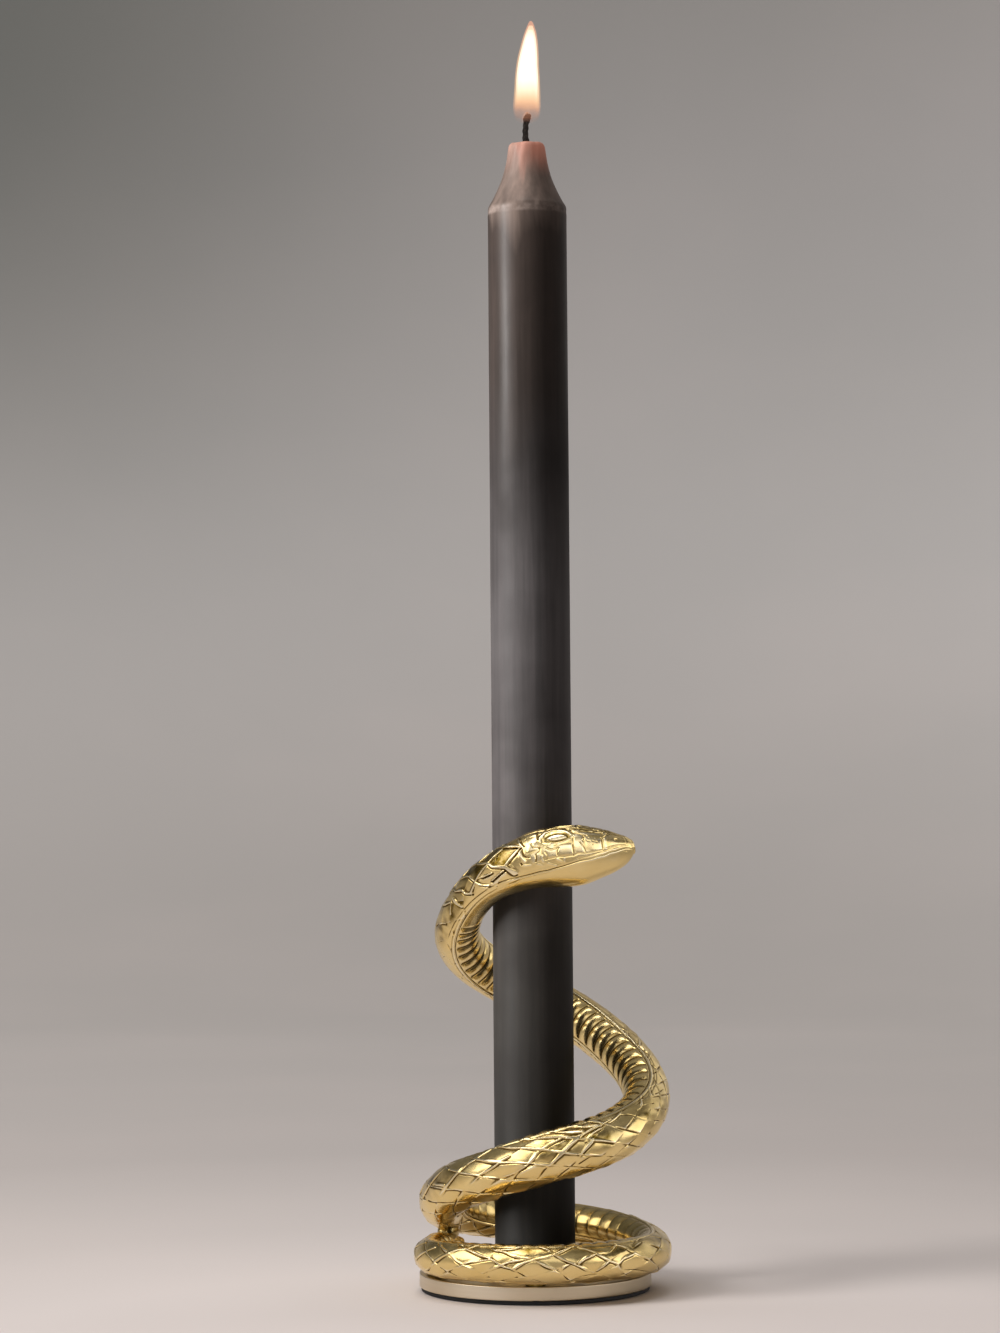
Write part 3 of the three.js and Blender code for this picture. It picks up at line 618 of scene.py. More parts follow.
RISE_SECOND = [
    line([(216, -3.8), (219, -5.2), (222.5, -7.3), (226, -9.8)], 1.1),
    line([(224, -1.7), (227, -3.2), (229.5, -4.8), (232.3, -7), (235, -9), (238, -10.3), (241.5, -12.5)], 1.4, 1.3, 1.5),
    line([(219.5, 6.8), (221.5, 5.2), (224, 3.6), (226.5, 2.3), (229, 0.7), (232, -1.2), (234.5, -2.4), (236.5, -3.4), (238.7, -4.6), (240.8, -5.3), (243, -6.1), (244.8, -6.9), (247.5, -8)], 0.9, 1.3),
    line([(226.5, 6.8), (229.5, 5), (232.3, 2.9), (234.5, 1.5), (236.8, 0.4), (239.3, -0.5), (242, -1.7), (244.5, -2.6), (248, -3.0), (250.5, -3.8)], 0.9),
    line([(238.3, 6), (240.8, 4), (242.8, 2), (244.7, 0.3), (246.8, -1.2), (248.6, -3), (251.5, -4.6), (253, -6), (254.2, -7.3), (257, -8.6), (259.5, -9.6)], 1.2, 1.2, 1.1),
    line([(246.8, 5.4), (249.5, 3.2), (252, 0.8), (254.4, -1.9), (256.5, -3.4), (258.4, -4.9), (260.2, -6.3), (262.3, -7.9), (264.5, -9), (266.5, -9.7), (269.5, -10.4), (273, -11.3)], 1.25, 1.2, 1.15),
    line([(253.5, 5), (255.6, 2.8), (258, 0.6), (260.2, -0.9), (262, -2.8), (264, -4.9), (265.9, -6.6)], 1.3, 1.7, 1.2),
    line([(275.4, -7.1), (277.5, -8), (279.5, -8.8), (281.5, -9.7), (283.5, -10.2), (285.5, -11.5), (287, -12.3)]),
    line([(266.3, 2.4), (268.5, 0.8), (271, -0.6), (273, -1.8), (275.5, -2.8), (277.5, -3.6)], 0.7, 0.8),
]
RISE_SECOND_EXTRA = [
    line([(264.8, -7), (266.6, -8.5), (269.2, -9.4)]),
    line([(272, -10.3), (274.5, -11), (276.5, -11.8), (278.5, -12.6), (280, -13.2)]),
    line([(262, -1), (264.5, -2.4)], 0.6),
]
FALL_NECK = [
    line([(397.5, 4.3), (399.5, 5.3), (401.2, 6.5), (402.2, 7.5)], 0.6, 1.4),
    line([(404.5, 2.8), (406.5, 4.2), (408.5, 5.2)], 0.8, 1.2),
    line([(411, 2.6), (412.5, 4.5), (414.8, 5.9), (415.5, 7.5), (417.3, 9)], 1.2, 1.2),
    line([(415, 1.8), (417.8, 3.5), (419, 5.2), (420.1, 7.2), (421.3, 9), (423.2, 10.6)], 1.1, 1.3),
    line([(421.8, 2.4), (423.5, 3.8), (425.3, 5), (426.2, 6.7), (427.6, 7.8), (429, 8.9), (429.4, 9.8), (430.3, 11.6)], 1.3, 1.2, 1.2),
    line([(427.2, -0.3), (428.8, 1.2), (430.8, 3.2), (432.9, 5.4)], 1.0, 2.0),
]
RISE_NECK = [
    line([(406.3, 7.6), (408, 6.2), (409.5, 5.2)], 0.5, 0.9),
    line([(417.3, 8.6), (419, 7.9), (420.2, 7.2), (421.5, 6.5), (423.2, 5.8), (425.2, 4.9), (426.5, 4), (428.7, 2.9)], 1.2, 1.1),
]
NECK_EXTRA = [
    line([(410.3, 5), (410.8, 7), (411.5, 9.2)], 1.5, 1.0, 1.7),
    line([(424.8, 10), (428.5, 9.4)], 0.3, 1.8),
    line([(421.2, 6.9), (423, 7.6), (425.5, 8.2)], 0.4, 1.6),
    line([(429.3, 8.3), (431, 6.8), (432.5, 5.5)], 0.8, 1.7),
]

# Everywhere else the same net goes on. A number is where a line crosses the
# middle of the back.
def steps(a, b, n):
    return [a + (b - a) * k / n for k in range(1, n)]


FALL = ([-30.0, -12.0, 3.0, 12.5, 22.0, 31.5] + [l[0] for l in FALL_RING] + [110.5] + steps(110.5, 220.2, 10)
        + [l[0] for l in FALL_SECOND] + steps(291.0, 389.7, 13) + [l[0] for l in FALL_NECK] + [436.0, 445.0, 500.0])
RISE = ([-30.0, -8.0, 4.0, 13.0, 22.5] + [RISE_RING[k][0] for k in (0, 1)]
        + [np.array([(45.6, 1.9), (50.2, -0.4), (54.5, -1.8), (57.3, -2.4), (58.0, -5.2), (64, -6.9)]),
           RISE_RING[3][0], RISE_RING[4][0],
           np.array([(58.6, 4.3), (63.6, 2.6), (68.2, 1.6), (72.2, 0.2), (75.0, -1.3), (78.2, -1.7), (81.8, -4), (85.5, -4.4), (88.5, -6.8)]),
           np.array([(76.3, 3.7), (80, 2), (82.4, 0.9), (85.2, -1.8), (88.6, -3.6)]),
           np.array([(88.1, -0.9), (90.5, -2.7), (92.4, -3.4), (97, -6.6)]), 95.5]
        + steps(95.5, 209.0, 11)
        + [RISE_SECOND[k][0] for k in range(6)]
        + [np.array([(253.5, 5), (258, 0.6), (262, -2.8), (265.9, -6.6), (269.2, -9.4), (272, -10.3), (280, -13.2)]),
           np.array([(264.5, 0), (268.5, -2.6), (275.4, -7.1), (281.5, -9.7), (287, -12.3)]), RISE_SECOND[8][0]]
        + steps(270.0, 397.0, 17) + [397.0, 404.0, 411.0, RISE_NECK[0][0], 425.0, RISE_NECK[1][0], 441.0, 449.0, 500.0])

CGRID = np.arange(-26, 26.01, 0.1)


def slope_at(s):
    return np.interp(s, [0, 100, 210, 250, 290, 400, 430], [1.7, 2.0, 2.0, 1.85, 1.75, 1.6, 1.3])


def net(lines, way):
    """Number of the line at each (s, c), a whole number on each line."""
    rows = []
    for l in lines:
        if isinstance(l, float):
            rows.append(l + way * slope_at(l) * CGRID)
            continue
        pts = l[np.argsort(l[:, 1])]
        k = slope_at(pts[:, 0].mean())
        row = np.interp(CGRID, pts[:, 1], pts[:, 0])
        row += way * k * (np.minimum(CGRID - pts[0, 1], 0) + np.maximum(CGRID - pts[-1, 1], 0))
        rows.append(row)
    rows = np.array(rows)
    for k in range(1, len(rows)):
        rows[k] = np.maximum(rows[k], rows[k - 1] + 1.6)
    field = np.stack([np.interp(SL, rows[:, j], np.arange(len(rows), dtype=float)) for j in range(len(CGRID))], 1)
    slope = np.hypot(np.gradient(field, STEP, axis=0), np.gradient(field, 0.1, axis=1))
    pick = lambda f: np.stack([np.interp(CC[i], CGRID, f[i]) for i in range(N)])
    return pick(field), pick(slope)


FALL_N, FALL_G = net(FALL, 1)
RISE_N, RISE_G = net(RISE, -1)

# How the lines look from place to place: 1 raised bands, 0 fine cut lines.
style = np.full((N, COLS), 0.6)


def restyle(mask, value):
    global style
    style = style * (1 - mask) + value * mask


restyle(box(SS, 20, 112, 4), 0.06 + 0.84 * ease(CC, 1.6, -1.0))
restyle(box(SS, 98, 135, 4) * ease(CC, -12, -8), 0.10)
restyle(box(SS, 205, 275, 4), 0.10 + 0.80 * ease(CC, -1.2, -4.6))
restyle(box(SS, 271, 332, 3) * ease(CC, -11.0, -9.0), 0.05)
restyle(box(SS, 326, 403, 6), 0.10)
restyle(box(SS, 402, 434, 4), 1.0)
scale = np.clip(REFF / 6.4, 0.35, 1.1)[:, None]

raised = np.zeros((N, COLS))
cutin = np.zeros((N, COLS))
nearest = np.full((N, COLS), 9.0)


def band(d, st, amp, cut, wide, sc):
    """Height and cut of a line at distance d, positive below it: a narrow strap with a cut on its lower side, or one fine cut."""
    w = 0.27 * wide
    strap = np.where(d > 0, np.exp(-(np.abs(d) / w) ** 4), np.exp(-(np.abs(d) / (1.25 * w)) ** 2))
    up = amp * (0.035 + 0.215 * st) * strap * sc
    side = np.exp(-((d - w - 0.13) / 0.165) ** 2) * 0.26 + np.exp(-((d + w + 0.17) / 0.14) ** 2) * 0.06
    mid = np.exp(-((d - 0.04) / 0.17) ** 2) * 0.26
    down = cut * (side * st + mid * (1 - st)) * sc
    return up, down


def drift(seed, sigma):
    """Smooth random field of unit spread over the body, for lines that come and go."""
    f = np.random.default_rng(seed).normal(0, 1, (N // 5 + 1, COLS // 5))
    f = np.repeat(np.repeat(f, 5, 0), 5, 1)[:N, :COLS]
    f = blur(f, sigma)
    return f / f.std()


def blur(f, sigma):
    n = max(int(3 * sigma / STEP), 1)
    k = np.exp(-0.5 * (np.arange(-n, n + 1) * STEP / sigma) ** 2)
    k /= k.sum()
    wide = np.pad(f, ((n, n), (0, 0)), mode="edge")
    f = sum(w * wide[i:i + N] for i, w in enumerate(k))
    return sum(w * np.roll(f, i - n, axis=1) for i, w in enumerate(k))


STRAP_DRIFT = np.clip(0.92 + 0.38 * drift(3, 1.1), 0.15, 1.6)
CUT_DRIFT = np.clip(0.85 + 0.42 * drift(4, 1.0), 0.15, 1.6)
WIDE_DRIFT = np.clip(1.0 + 0.30 * drift(5, 1.2), 0.55, 1.7)


def along_points(points, margin):
    """Window of the grid round the points, and each of its points' distance to them."""
    s0, s1 = points[:, 0].min() - margin, points[:, 0].max() + margin
    i0, i1 = max(int((s0 - 0.4) / STEP), 0), min(int((s1 + 0.1) / STEP) + 2, N)
    if i0 >= i1:
        return None
    rmin, rmax = REFF[i0:i1].min(), REFF[i0:i1].max()
    c0, c1 = points[:, 1].min() - margin, points[:, 1].max() + margin
    q0 = c0 / (rmin if c0 < 0 else rmax)
    q1 = c1 / (rmin if c1 > 0 else rmax)
    j0 = max(int((q0 + math.pi) / (2 * math.pi) * COLS) - 1, 0)
    j1 = min(int((q1 + math.pi) / (2 * math.pi) * COLS) + 2, COLS)
    s, c = SS[i0:i1, j0:j1], CC[i0:i1, j0:j1]
    best, sign = np.full(s.shape, 1e9), np.ones(s.shape)
    for a, b in zip(points[:-1], points[1:]):
        ab = b - a
        t = np.clip(((s - a[0]) * ab[0] + (c - a[1]) * ab[1]) / max(ab @ ab, 1e-9), 0, 1)
        away = (s - a[0] - t * ab[0]) ** 2 + (c - a[1] - t * ab[1]) ** 2
        below = np.sign(ab[0]) * (ab[0] * (c - a[1]) - ab[1] * (s - a[0]))
        sign = np.where(away < best, np.where(below >= 0, 1.0, -1.0), sign)
        best = np.minimum(best, away)
    return slice(i0, i1), slice(j0, j1), np.sqrt(best) * sign


def rounded(points, parts=4):
    """The same run of points with its corners eased."""
    if len(points) < 3:
        return points
    t = np.arange(len(points))
    fine = np.linspace(0, len(points) - 1, (len(points) - 1) * parts + 1)
    return np.stack([curve(t, points[:, k], fine) for k in (0, 1)], 1)


def draw(lines):
    for points, amp, cut, wide in lines:
        got = along_points(rounded(points), 1.6)
        if got is None:
            continue
        i, j, d = got
        up, down = band(d, style[i, j], amp, cut, wide * WIDE_DRIFT[i, j], scale[i])
        raised[i, j] = np.maximum(raised[i, j], up * STRAP_DRIFT[i, j])
        cutin[i, j] = np.maximum(cutin[i, j], down * CUT_DRIFT[i, j])
        nearest[i, j] = np.minimum(nearest[i, j], np.abs(d))


for group in (FALL_RING, FALL_RING_EXTRA, RISE_RING, FALL_SECOND, FALL_SECOND_EXTRA, RISE_SECOND,
              RISE_SECOND_EXTRA, FALL_NECK, RISE_NECK, NECK_EXTRA):
    draw(group)

# the rest of the net
drawn = np.maximum.reduce([
    box(SS, 33, 100, 0.8) * box(CC, -7.4, 5.2, 0.4),
    box(SS, 213, 289, 0.8) * box(CC, -14.6, 6.6, 0.4),
    ease(SS, 395, 397) * ease(CC, 1.6, 2.2)])
covered = ease(SS, 428.5, 431.5) * np.ones_like(CC)
free = (1 - drawn) * (1 - covered) * ease(INSIDE, -0.5, -1.1) * ease(SS, 1.5, 8)
calm = box(SS, 326, 403, 7)                # worn almost smooth on the way up to the head
for number, slope in ((FALL_N, FALL_G), (RISE_N, RISE_G)):
    d = (number - np.round(number)) / np.maximum(slope, 1e-3) * (-1.0 if number is FALL_N else 1.0)
    up, down = band(d, style, 0.95, 1.0, WIDE_DRIFT, scale)
    raised = np.maximum(raised, up * free * STRAP_DRIFT * (1 - 0.6 * calm))
    cutin = np.maximum(cutin, down * free * CUT_DRIFT * (1 - 0.6 * calm))
    nearest = np.where(free > 0.5, np.minimum(nearest, np.abs(d)), nearest)

on_scales = ease(INSIDE, -0.15, -0.75) * (1 - covered) * ease(SS, 1.5, 8)
neck = box(SS, 396, 432, 5)
raised *= ease(INSIDE, -0.1, -0.5) * (1 + 0.35 * neck)
cutin *= ease(INSIDE, -0.1, -0.5) * (1 + 0.5 * neck)

# Each scale is a plate of its own: a little flatter than the body, slightly
# cushioned, and leaning its own way.
rng = np.random.default_rng(20)
cell = np.floor(FALL_N).astype(np.int64) * 1024 + np.floor(RISE_N).astype(np.int64)
names, cell = np.unique(cell, return_inverse=True)
cell = cell.reshape(N, COLS)
weight = (on_scales > 0.5).ravel().astype(float) + 1e-6
total = np.bincount(cell.ravel(), weights=weight)
mid_s = np.bincount(cell.ravel(), weights=weight * SS.ravel()) / total
mid_c = np.bincount(cell.ravel(), weights=weight * CC.ravel()) / total
lean = rng.normal(0, 1, (len(names), 3))
ds = np.clip(SS - mid_s[cell], -5, 5)
dc = np.clip(CC - mid_c[cell], -3, 3)
plates = (np.clip(lean[:, 0], -1.8, 1.8)[cell] * 0.020 * ds + np.clip(lean[:, 1], -1.8, 1.8)[cell] * 0.034 * dc
          + np.clip(lean[:, 2], -1.8, 1.8)[cell] * 0.02)
plates += 0.48 * (dc**2 / (2 * REFF[:, None]) - 0.10)
plates += 0.05 * (1 - np.exp(-(nearest / 0.9) ** 2)) - 0.03

height = np.full((N, COLS), -0.13)
height += plates * on_scales * scale * (1 - 0.55 * calm)
height += raised - cutin * (1 - 0.8 * np.clip(raised / (0.13 * scale), 0, 1))

# Belly: rounded cross ridges, bowed back at their ends, inside a rolled edge.
CRESTS = np.array([(0, 0), (77.8, 20), (85.8, 22), (127.5, 32), (136.5, 34), (291.5, 70), (300.3, 72), (316.5, 76),
                   (339.5, 82), (377, 91), (389.3, 94), (397.5, 96), (403, 98), (470, 118)], float)
crest = np.interp(SL, CRESTS[:, 0], CRESTS[:, 1])[:, None]
half = (2 * math.pi - BELLY_UP - BELLY_LOW)[:, None] / 2 * REFF[:, None]
middle = np.where(Q[None, :] < 0, half - INSIDE, INSIDE - half) / np.maximum(half, 0.5)   # -1..1 across the belly
bow = 0.22 * np.clip(np.abs(middle), 0, 1) ** 2.5
ridge = np.abs(np.cos(math.pi * (crest + bow))) ** 0.62
ridges = (0.50 * ridge - 0.36) * scale * ease(INSIDE, 0.15, 1.3) * BELLY_END
ridges *= 1 - 0.62 * box(SS, 95, 200, 8)
roll = 0.17 * np.exp(-((INSIDE + 0.42) / 0.34) ** 2) - 0.15 * np.exp(-((INSIDE - 0.10) / 0.20) ** 2)
roll += -0.07 * np.exp(-((INSIDE + 1.05) / 0.16) ** 2)
roll *= scale * (1 - ease(SS, 404, 430)) * ease(SS, 0.5, 6)
height = height * (1 - IN_BELLY * BELLY_END) + (-0.14 + ridges) * IN_BELLY * BELLY_END + roll
second = np.exp(-((INSIDE + 1.8) / 0.16) ** 2) * box(SS, 281, 313, 3) * (Q[None, :] < 0)
height -= 0.11 * second

# ------------------------------------------------------------ snake's head

feature = np.zeros((N, COLS))
MOUTH = [(398, 10.1), (405, 10), (410, 10.1), (415, 10.4), (420, 10.9), (425, 11.5), (428, 12.1), (430, 12.8), (432, 13.4),
         (434, 13.7), (436, 13.9), (438, 14.1), (440, 13.9), (442, 13.6), (444, 13.1), (446, 12.5), (448, 11.9),
         (449.5, 11.3), (451, 10.4), (453, 9.4), (454.5, 8.3), (456, 7.5), (458, 6.2), (459.5, 5.3), (461, 4.5)]


def groove(points, depth, wide, flat=False):
    got = along_points(rounded(np.array(points, float)), wide * 4)
    if got is None:
        return
    i, j, d = got
    if depth > 0:
        depth, wide = depth * 0.95, wide * 0.82
    shape = np.exp(-(d / wide) ** 4) if flat else np.exp(-(d / wide) ** 2)
    if depth > 0:
        feature[i, j] -= np.maximum(depth * shape + np.minimum(feature[i, j], 0) * 0.8, 0)
    else:
        feature[i, j] += -depth * shape


def bump_at(s, c, rs, rc, up, turn=0.0, power=2.0):
    """A smooth mound (or a dent, if up is below 0) with half sizes rs, rc."""
    a = math.radians(turn)
    x, y = SS - s, CC - c
    u, v = (x * math.cos(a) + y * math.sin(a)) / rs, (-x * math.sin(a) + y * math.cos(a)) / rc
    feature[:] += up * np.exp(-(u * u + v * v) ** (power / 2) * 1.2)


def plate(s0, s1, c0, c1, up, lean_s=0.0, lean_c=0.0, soft=0.35, skew=0.0):
    """A cushion of a scale, with its own lean."""
    s = SS - skew * (CC - (c0 + c1) / 2)
    m = box(s, s0, s1, soft) * box(CC, c0, c1, soft)
    x = (s - (s0 + s1) / 2) / ((s1 - s0) / 2)
    y = (CC - (c0 + c1) / 2) / ((c1 - c0) / 2)
    feature[:] += m * (up * (1 - 0.45 * (x**2 + y**2)) + lean_s * x + lean_c * y)


# cheek, temple and snout plates
plate(441.4, 444.7, 7.9, 10.7, 0.17, 0.02, -0.05)
plate(445.1, 447.5, 5.4, 10.2, 0.16, 0.04, -0.04)
plate(448.1, 452.4, 5.3, 9.4, 0.15, 0.03, -0.05)
plate(453.4, 459.3, 3.0, 6.4, 0.12, -0.02, -0.06)
plate(434.3, 436.9, 2.2, 7.8, 0.20, -0.03, 0.03)
plate(437.6, 440.6, 7.4, 10.6, 0.10, 0.02, 0.02)
plate(434.4, 437.2, 8.3, 11.2, 0.10, -0.02, 0.02)
# shields on top of the head
plate(446.6, 450.4, -1.9, 1.9, 0.10)
plate(439.4, 445.6, -1.9, 1.9, 0.12, -0.02)
plate(433.4, 438.8, 0.15, 3.4, 0.13, 0.02, 0.03)
plate(451.0, 454.0, 0.15, 3.0, 0.08)
plate(454.4, 457.8, 0.15, 2.2, 0.07)
# brow, lid and the ridge in front of the eye
groove([(437.8, 4.6), (438.5, 3.4), (440, 2.8), (442, 3.0), (443.5, 3.8), (444.3, 4.8), (444.9, 5.6)], -0.20, 0.42)
groove([(444.9, 5.6), (446.6, 5.2), (449.2, 4.7), (452, 4.0)], -0.12, 0.45)
groove([(438.8, 6.9), (440.6, 7.5), (442.6, 7.2), (444.2, 6.4)], -0.07, 0.35)
# socket and eye
groove([(437.7, 5), (438, 6.3), (439.2, 7)], 0.16, 0.30)
groove([(438.7, 5.4), (439.6, 4.6), (440.6, 4.25), (441.6, 4.3), (442.7, 4.7), (443.6, 5.3), (443.9, 5.8)], 0.26, 0.17)
groove([(438.7, 5.5), (439.8, 6.4), (441.3, 6.85), (442.7, 6.6), (443.8, 6.1)], 0.20, 0.15)
x, y = (SS - 441.3) / 2.35, (CC - 5.55) / (0.98 * np.clip(1 - ((SS - 441.3) / 2.45) ** 2, 0.02, 1) ** 0.75)
feature += 0.26 * np.clip(1 - x * x, 0, 1) ** 0.4 * np.clip(1 - y * y, 0, 1) ** 0.4
# lips and mouth
shape = np.array(MOUTH)
groove(MOUTH, 0.19, 0.16)
groove([(s, c + 0.42) for s, c in MOUTH if s > 424], -0.10, 0.22)
groove([(s, c - 0.55) for s, c in MOUTH if s > 430], -0.05, 0.28)
groove([(446.0, 11.9), (448.6, 11.0), (451, 9.7), (453.5, 8.2), (456, 6.7), (458.5, 5.2), (460.5, 4.1)], 0.15, 0.34)
# dark gaps between the overlapping plates on top
for points, depth, wide in [
    ([(438.6, 1.9), (441.5, 1.5), (444.5, 1.9), (446.8, 2.5)], 0.30, 0.30), ([(444.8, 2.9), (447.0, 2.7), (449.5, 2.5), (452.0, 2.1)], 0.34, 0.34),
    ([(450.8, 2.9), (453.0, 2.2), (455.0, 1.6), (457.2, 1.0)], 0.30, 0.30), ([(441.0, 0.3), (443.5, 0.5), (446.0, 0.6)], 0.24, 0.26),
    ([(447.0, 0.7), (449.5, 0.9), (452.0, 0.8)], 0.26, 0.28), ([(434.5, 1.2), (437.0, 1.6), (439.5, 2.3)], 0.24, 0.28),
    ([(447.5, 3.9), (449.5, 3.5), (451.5, 3.3)], 0.26, 0.26)]:
    groove(points, depth, wide)
groove([(453.5, 7.6), (455, 6.7), (457, 5.6), (459, 4.7), (460.5, 4.0)], 0.13, 0.17)
groove([(438, 11.2), (441, 11), (443, 11.1), (445, 11.0), (446, 10.5), (448, 10.3), (450, 9.5), (452.5, 8.4)], 0.15, 0.17)
# grooves between the plates
for points, depth, wide in [
    ([(441.5, 8.8), (441.1, 9.6), (441, 10.6)], 0.20, 0.18), ([(444.8, 8.2), (444.9, 10), (444.9, 11)], 0.22, 0.18),
    ([(446.8, 7.4), (447.2, 8.2), (447.7, 9.2), (447.8, 10)], 0.20, 0.17), ([(445.1, 5.2), (445.2, 6.5), (445.1, 8), (445, 9.2)], 0.18, 0.18),
    ([(447.6, 5.4), (448, 6.3), (447.4, 7)], 0.18, 0.18), ([(452.5, 5), (452.6, 6), (452.5, 8)], 0.22, 0.20),
    ([(453.2, 4.7), (454.5, 3.4), (456, 2.5), (458, 1.9), (459.6, 1.3)], 0.18, 0.26),
    ([(445.2, 4.7), (447, 5), (448.6, 5.3)], 0.24, 0.20), ([(446.5, 2.1), (448, 2), (450.8, 1.8)], 0.14, 0.16),
    ([(449.8, 3.9), (451.5, 3.4), (453, 2.9)], 0.26, 0.22), ([(440, 0.0), (441.2, 0.9), (442.3, 1.7)], 0.14, 0.20),
    ([(442, 2), (443.5, 2.2), (444.6, 3), (445.2, 4.2)], 0.20, 0.18), ([(453, 1.5), (455.5, 0.3)], 0.16, 0.18),
    ([(446.2, 0), (446.2, 1.2), (446.5, 2.1), (445.0, 3.2)], 0.15, 0.18), ([(450.8, 0), (450.8, 1.8), (451.0, 3.2)], 0.15, 0.18),
    ([(454.2, 0), (454.2, 1.3), (454.4, 3.2)], 0.13, 0.17), ([(432.8, 0), (433.0, 1.2), (433.2, 2.5)], 0.16, 0.22),
    ([(436.9, 1.2), (437, 2.4), (437, 3.4), (437, 5)], 0.20, 0.22), ([(438.9, 0), (438.9, 1.6), (438.6, 2.8)], 0.15, 0.20),
    ([(433.4, 0), (436, 0), (438.8, 0)], 0.12, 0.17), ([(451.0, 0), (454, 0), (457.6, 0)], 0.11, 0.16),
    ([(435.5, 5.9), (435.7, 6.8), (436, 7.3), (437, 7.6), (437, 8.5), (436.2, 9)], 0.22, 0.20),
    ([(433.2, 3), (433.5, 4.6), (433.8, 5.6)], 0.26, 0.22), ([(433.1, 6.2), (433.1, 7.8), (433.5, 8.6), (434.3, 9.2)], 0.30, 0.24),
    ([(436, 9.2), (435.9, 10.2), (435.6, 10.9)], 0.32, 0.24), ([(432, 9.7), (432.1, 10.3)], 0.28, 0.22),
    ([(438.5, 8), (439.5, 8.8), (441, 8.6)], 0.12, 0.30), ([(438.2, 9.2), (438.6, 10.2), (438.4, 11.1)], 0.15, 0.20),
    ([(459.4, 0), (459.7, 1.6), (459.9, 3.0), (459.8, 4.1)], 0.16, 0.16)]:
    groove(points, depth, wide)
for points, up, wide in [
    ([(453.5, 5), (453.5, 6.4), (453.5, 7.8)], 0.14, 0.28), ([(437.6, 4), (437.5, 5), (437.4, 5.8)], 0.14, 0.30),
    ([(432.7, 2.5), (432.9, 4), (433.2, 5.6)], 0.20, 0.30), ([(432.3, 6.5), (432.5, 8.5), (433, 9.8)], 0.18, 0.32),
    ([(432.5, 10.6), (433.3, 11.0), (434.2, 11.2)], 0.15, 0.26), ([(429.5, 8.4), (430.0, 9.1), (430.3, 9.8)], 0.15, 0.26),
    ([(437.3, 10), (437.2, 10.8), (437.4, 11.6)], 0.14, 0.25), ([(435.8, 11.7), (437, 12.3)], 0.12, 0.25),
    ([(438.5, 12.2), (440.5, 13.2)], 0.12, 0.25), ([(440.8, 11.5), (442, 12.4)], 0.12, 0.24),
    ([(442.6, 11.6), (442.6, 12.3)], 0.14, 0.30)]:
    groove(points, -up, wide)
# nostril, dents and the punched dots on the plate before the eye
bump_at(456.9, 4.1, 0.75, 0.42, -0.30, -30)
bump_at(440.7, 7.7, 0.45, 0.35, -0.12)
bump_at(447.5, 3.75, 0.55, 0.35, -0.16)
bump_at(439.8, 4.0, 0.4, 0.3, -0.10)
for s, c in [(449.0, 6.0), (449.8, 5.7), (450.6, 5.8), (451.4, 5.6), (449.2, 6.9), (450.2, 6.6), (451.1, 6.6), (448.7, 6.9), (450.0, 7.5)]:
    bump_at(s, c, 0.22, 0.20, -0.10)
# stippled diamond on the neck
for k in range(70):
    s, c = rng.uniform(425.6, 432.4), rng.uniform(3.2, 8.1)
    if abs(s - 429.05) / 3.5 + abs(c - 5.65) / 2.5 < 0.86:
        bump_at(s, c, 0.16, 0.15, -0.075)
stipple = np.clip(1.25 - np.abs(SS - 429.05) / 3.3 - np.abs(CC - 5.65) / 2.4, 0, 0.35) / 0.35
stipple = stipple * stipple * (3 - 2 * stipple)
feature *= ease(SS, 396, 400)
feature = np.where(CC >= 0, feature, feature[:, MIRROR])
# only the mouth line runs back along the neck, and only on the outside
feature *= np.where(SS > 431.5, 1.0, np.where(CC > 0, 1.0, ease(SS, 424, 431)))
height += feature * np.clip(REFF / 6.0, 0.45, 1.0)[:, None]

# softened as by polishing, then the grooves' share of shadow for the material
# a notch with a rim below it, along the lower edge of the second turn; the material darkens the notch as painted shade
# and lightens the rim as painted highlight
notch = np.exp(-((CC / REFF[:, None] - math.radians(66)) / math.radians(6.5)) ** 2) * box(SS, 214, 266, 4)
rim = np.exp(-((CC / REFF[:, None] - math.radians(80)) / math.radians(4.5)) ** 2) * box(SS, 212, 268, 4)
notch *= np.clip(0.8 + 0.5 * drift(8, 1.3), 0.1, 1.2)
height += 0.05 * rim - 0.16 * notch

height = blur(height, 0.075)
# the relief lightens raised edges and the rim as painted highlight and darkens grooves as painted shade in the material
relief = blur(height, 0.55) - height - 0.06 * rim

# painted shade and painted dark reflection, partly dark lacquer: on some of the scales that look up, in the pits
# of the neck and the second turn, between the belly's ridges, in the notch and on the top of the head
mood = np.clip(0.36 + 0.40 * lean[:, 2][cell] + 0.46 * neck, 0, 1)
upper = box(SS, 24, 112, 5) * box(CC, -9.5, -2.2, 1.2) * 0.62 + box(SS, 208, 300, 5) * box(CC, -15, -5.2, 1.6) * 0.50
upper += neck * box(CC, -10, 9.4, 1.3) * 1.05
shade = upper * mood * (0.60 + 0.40 * np.clip(drift(9, 0.9), -1, 1)) * on_scales
shade += 0.55 * box(SS, 22, 114, 5) * box(CC, -9.8, -4.4, 0.9) * np.clip(0.65 + 0.6 * drift(13, 1.8), 0, 1) * on_scales
shade += 0.50 * box(SS, 250, 292, 5) * box(CC, -8.0, -3.2, 1.0) * np.clip(0.9 * drift(14, 1.1) - 0.1, 0, 1) * on_scales
shade += 0.95 * np.exp(-(((SS - 262) / 9.0) ** 2 + ((CC + 9.0) / 2.7) ** 2)) * np.clip(0.35 + 0.6 * drift(10, 0.6), 0, 1)
shade += 0.72 * np.exp(-(((SS - 222) / 9.5) ** 2 + ((CC + 5.4) / 2.9) ** 2)) * np.clip(0.5 + 0.5 * drift(11, 0.7), 0, 1)
shade += 0.85 * np.exp(-(((SS - 446) / 14) ** 2 + ((CC - 0.8) / 2.0) ** 2)) * np.clip(0.45 + 0.7 * drift(12, 0.45), 0, 1)
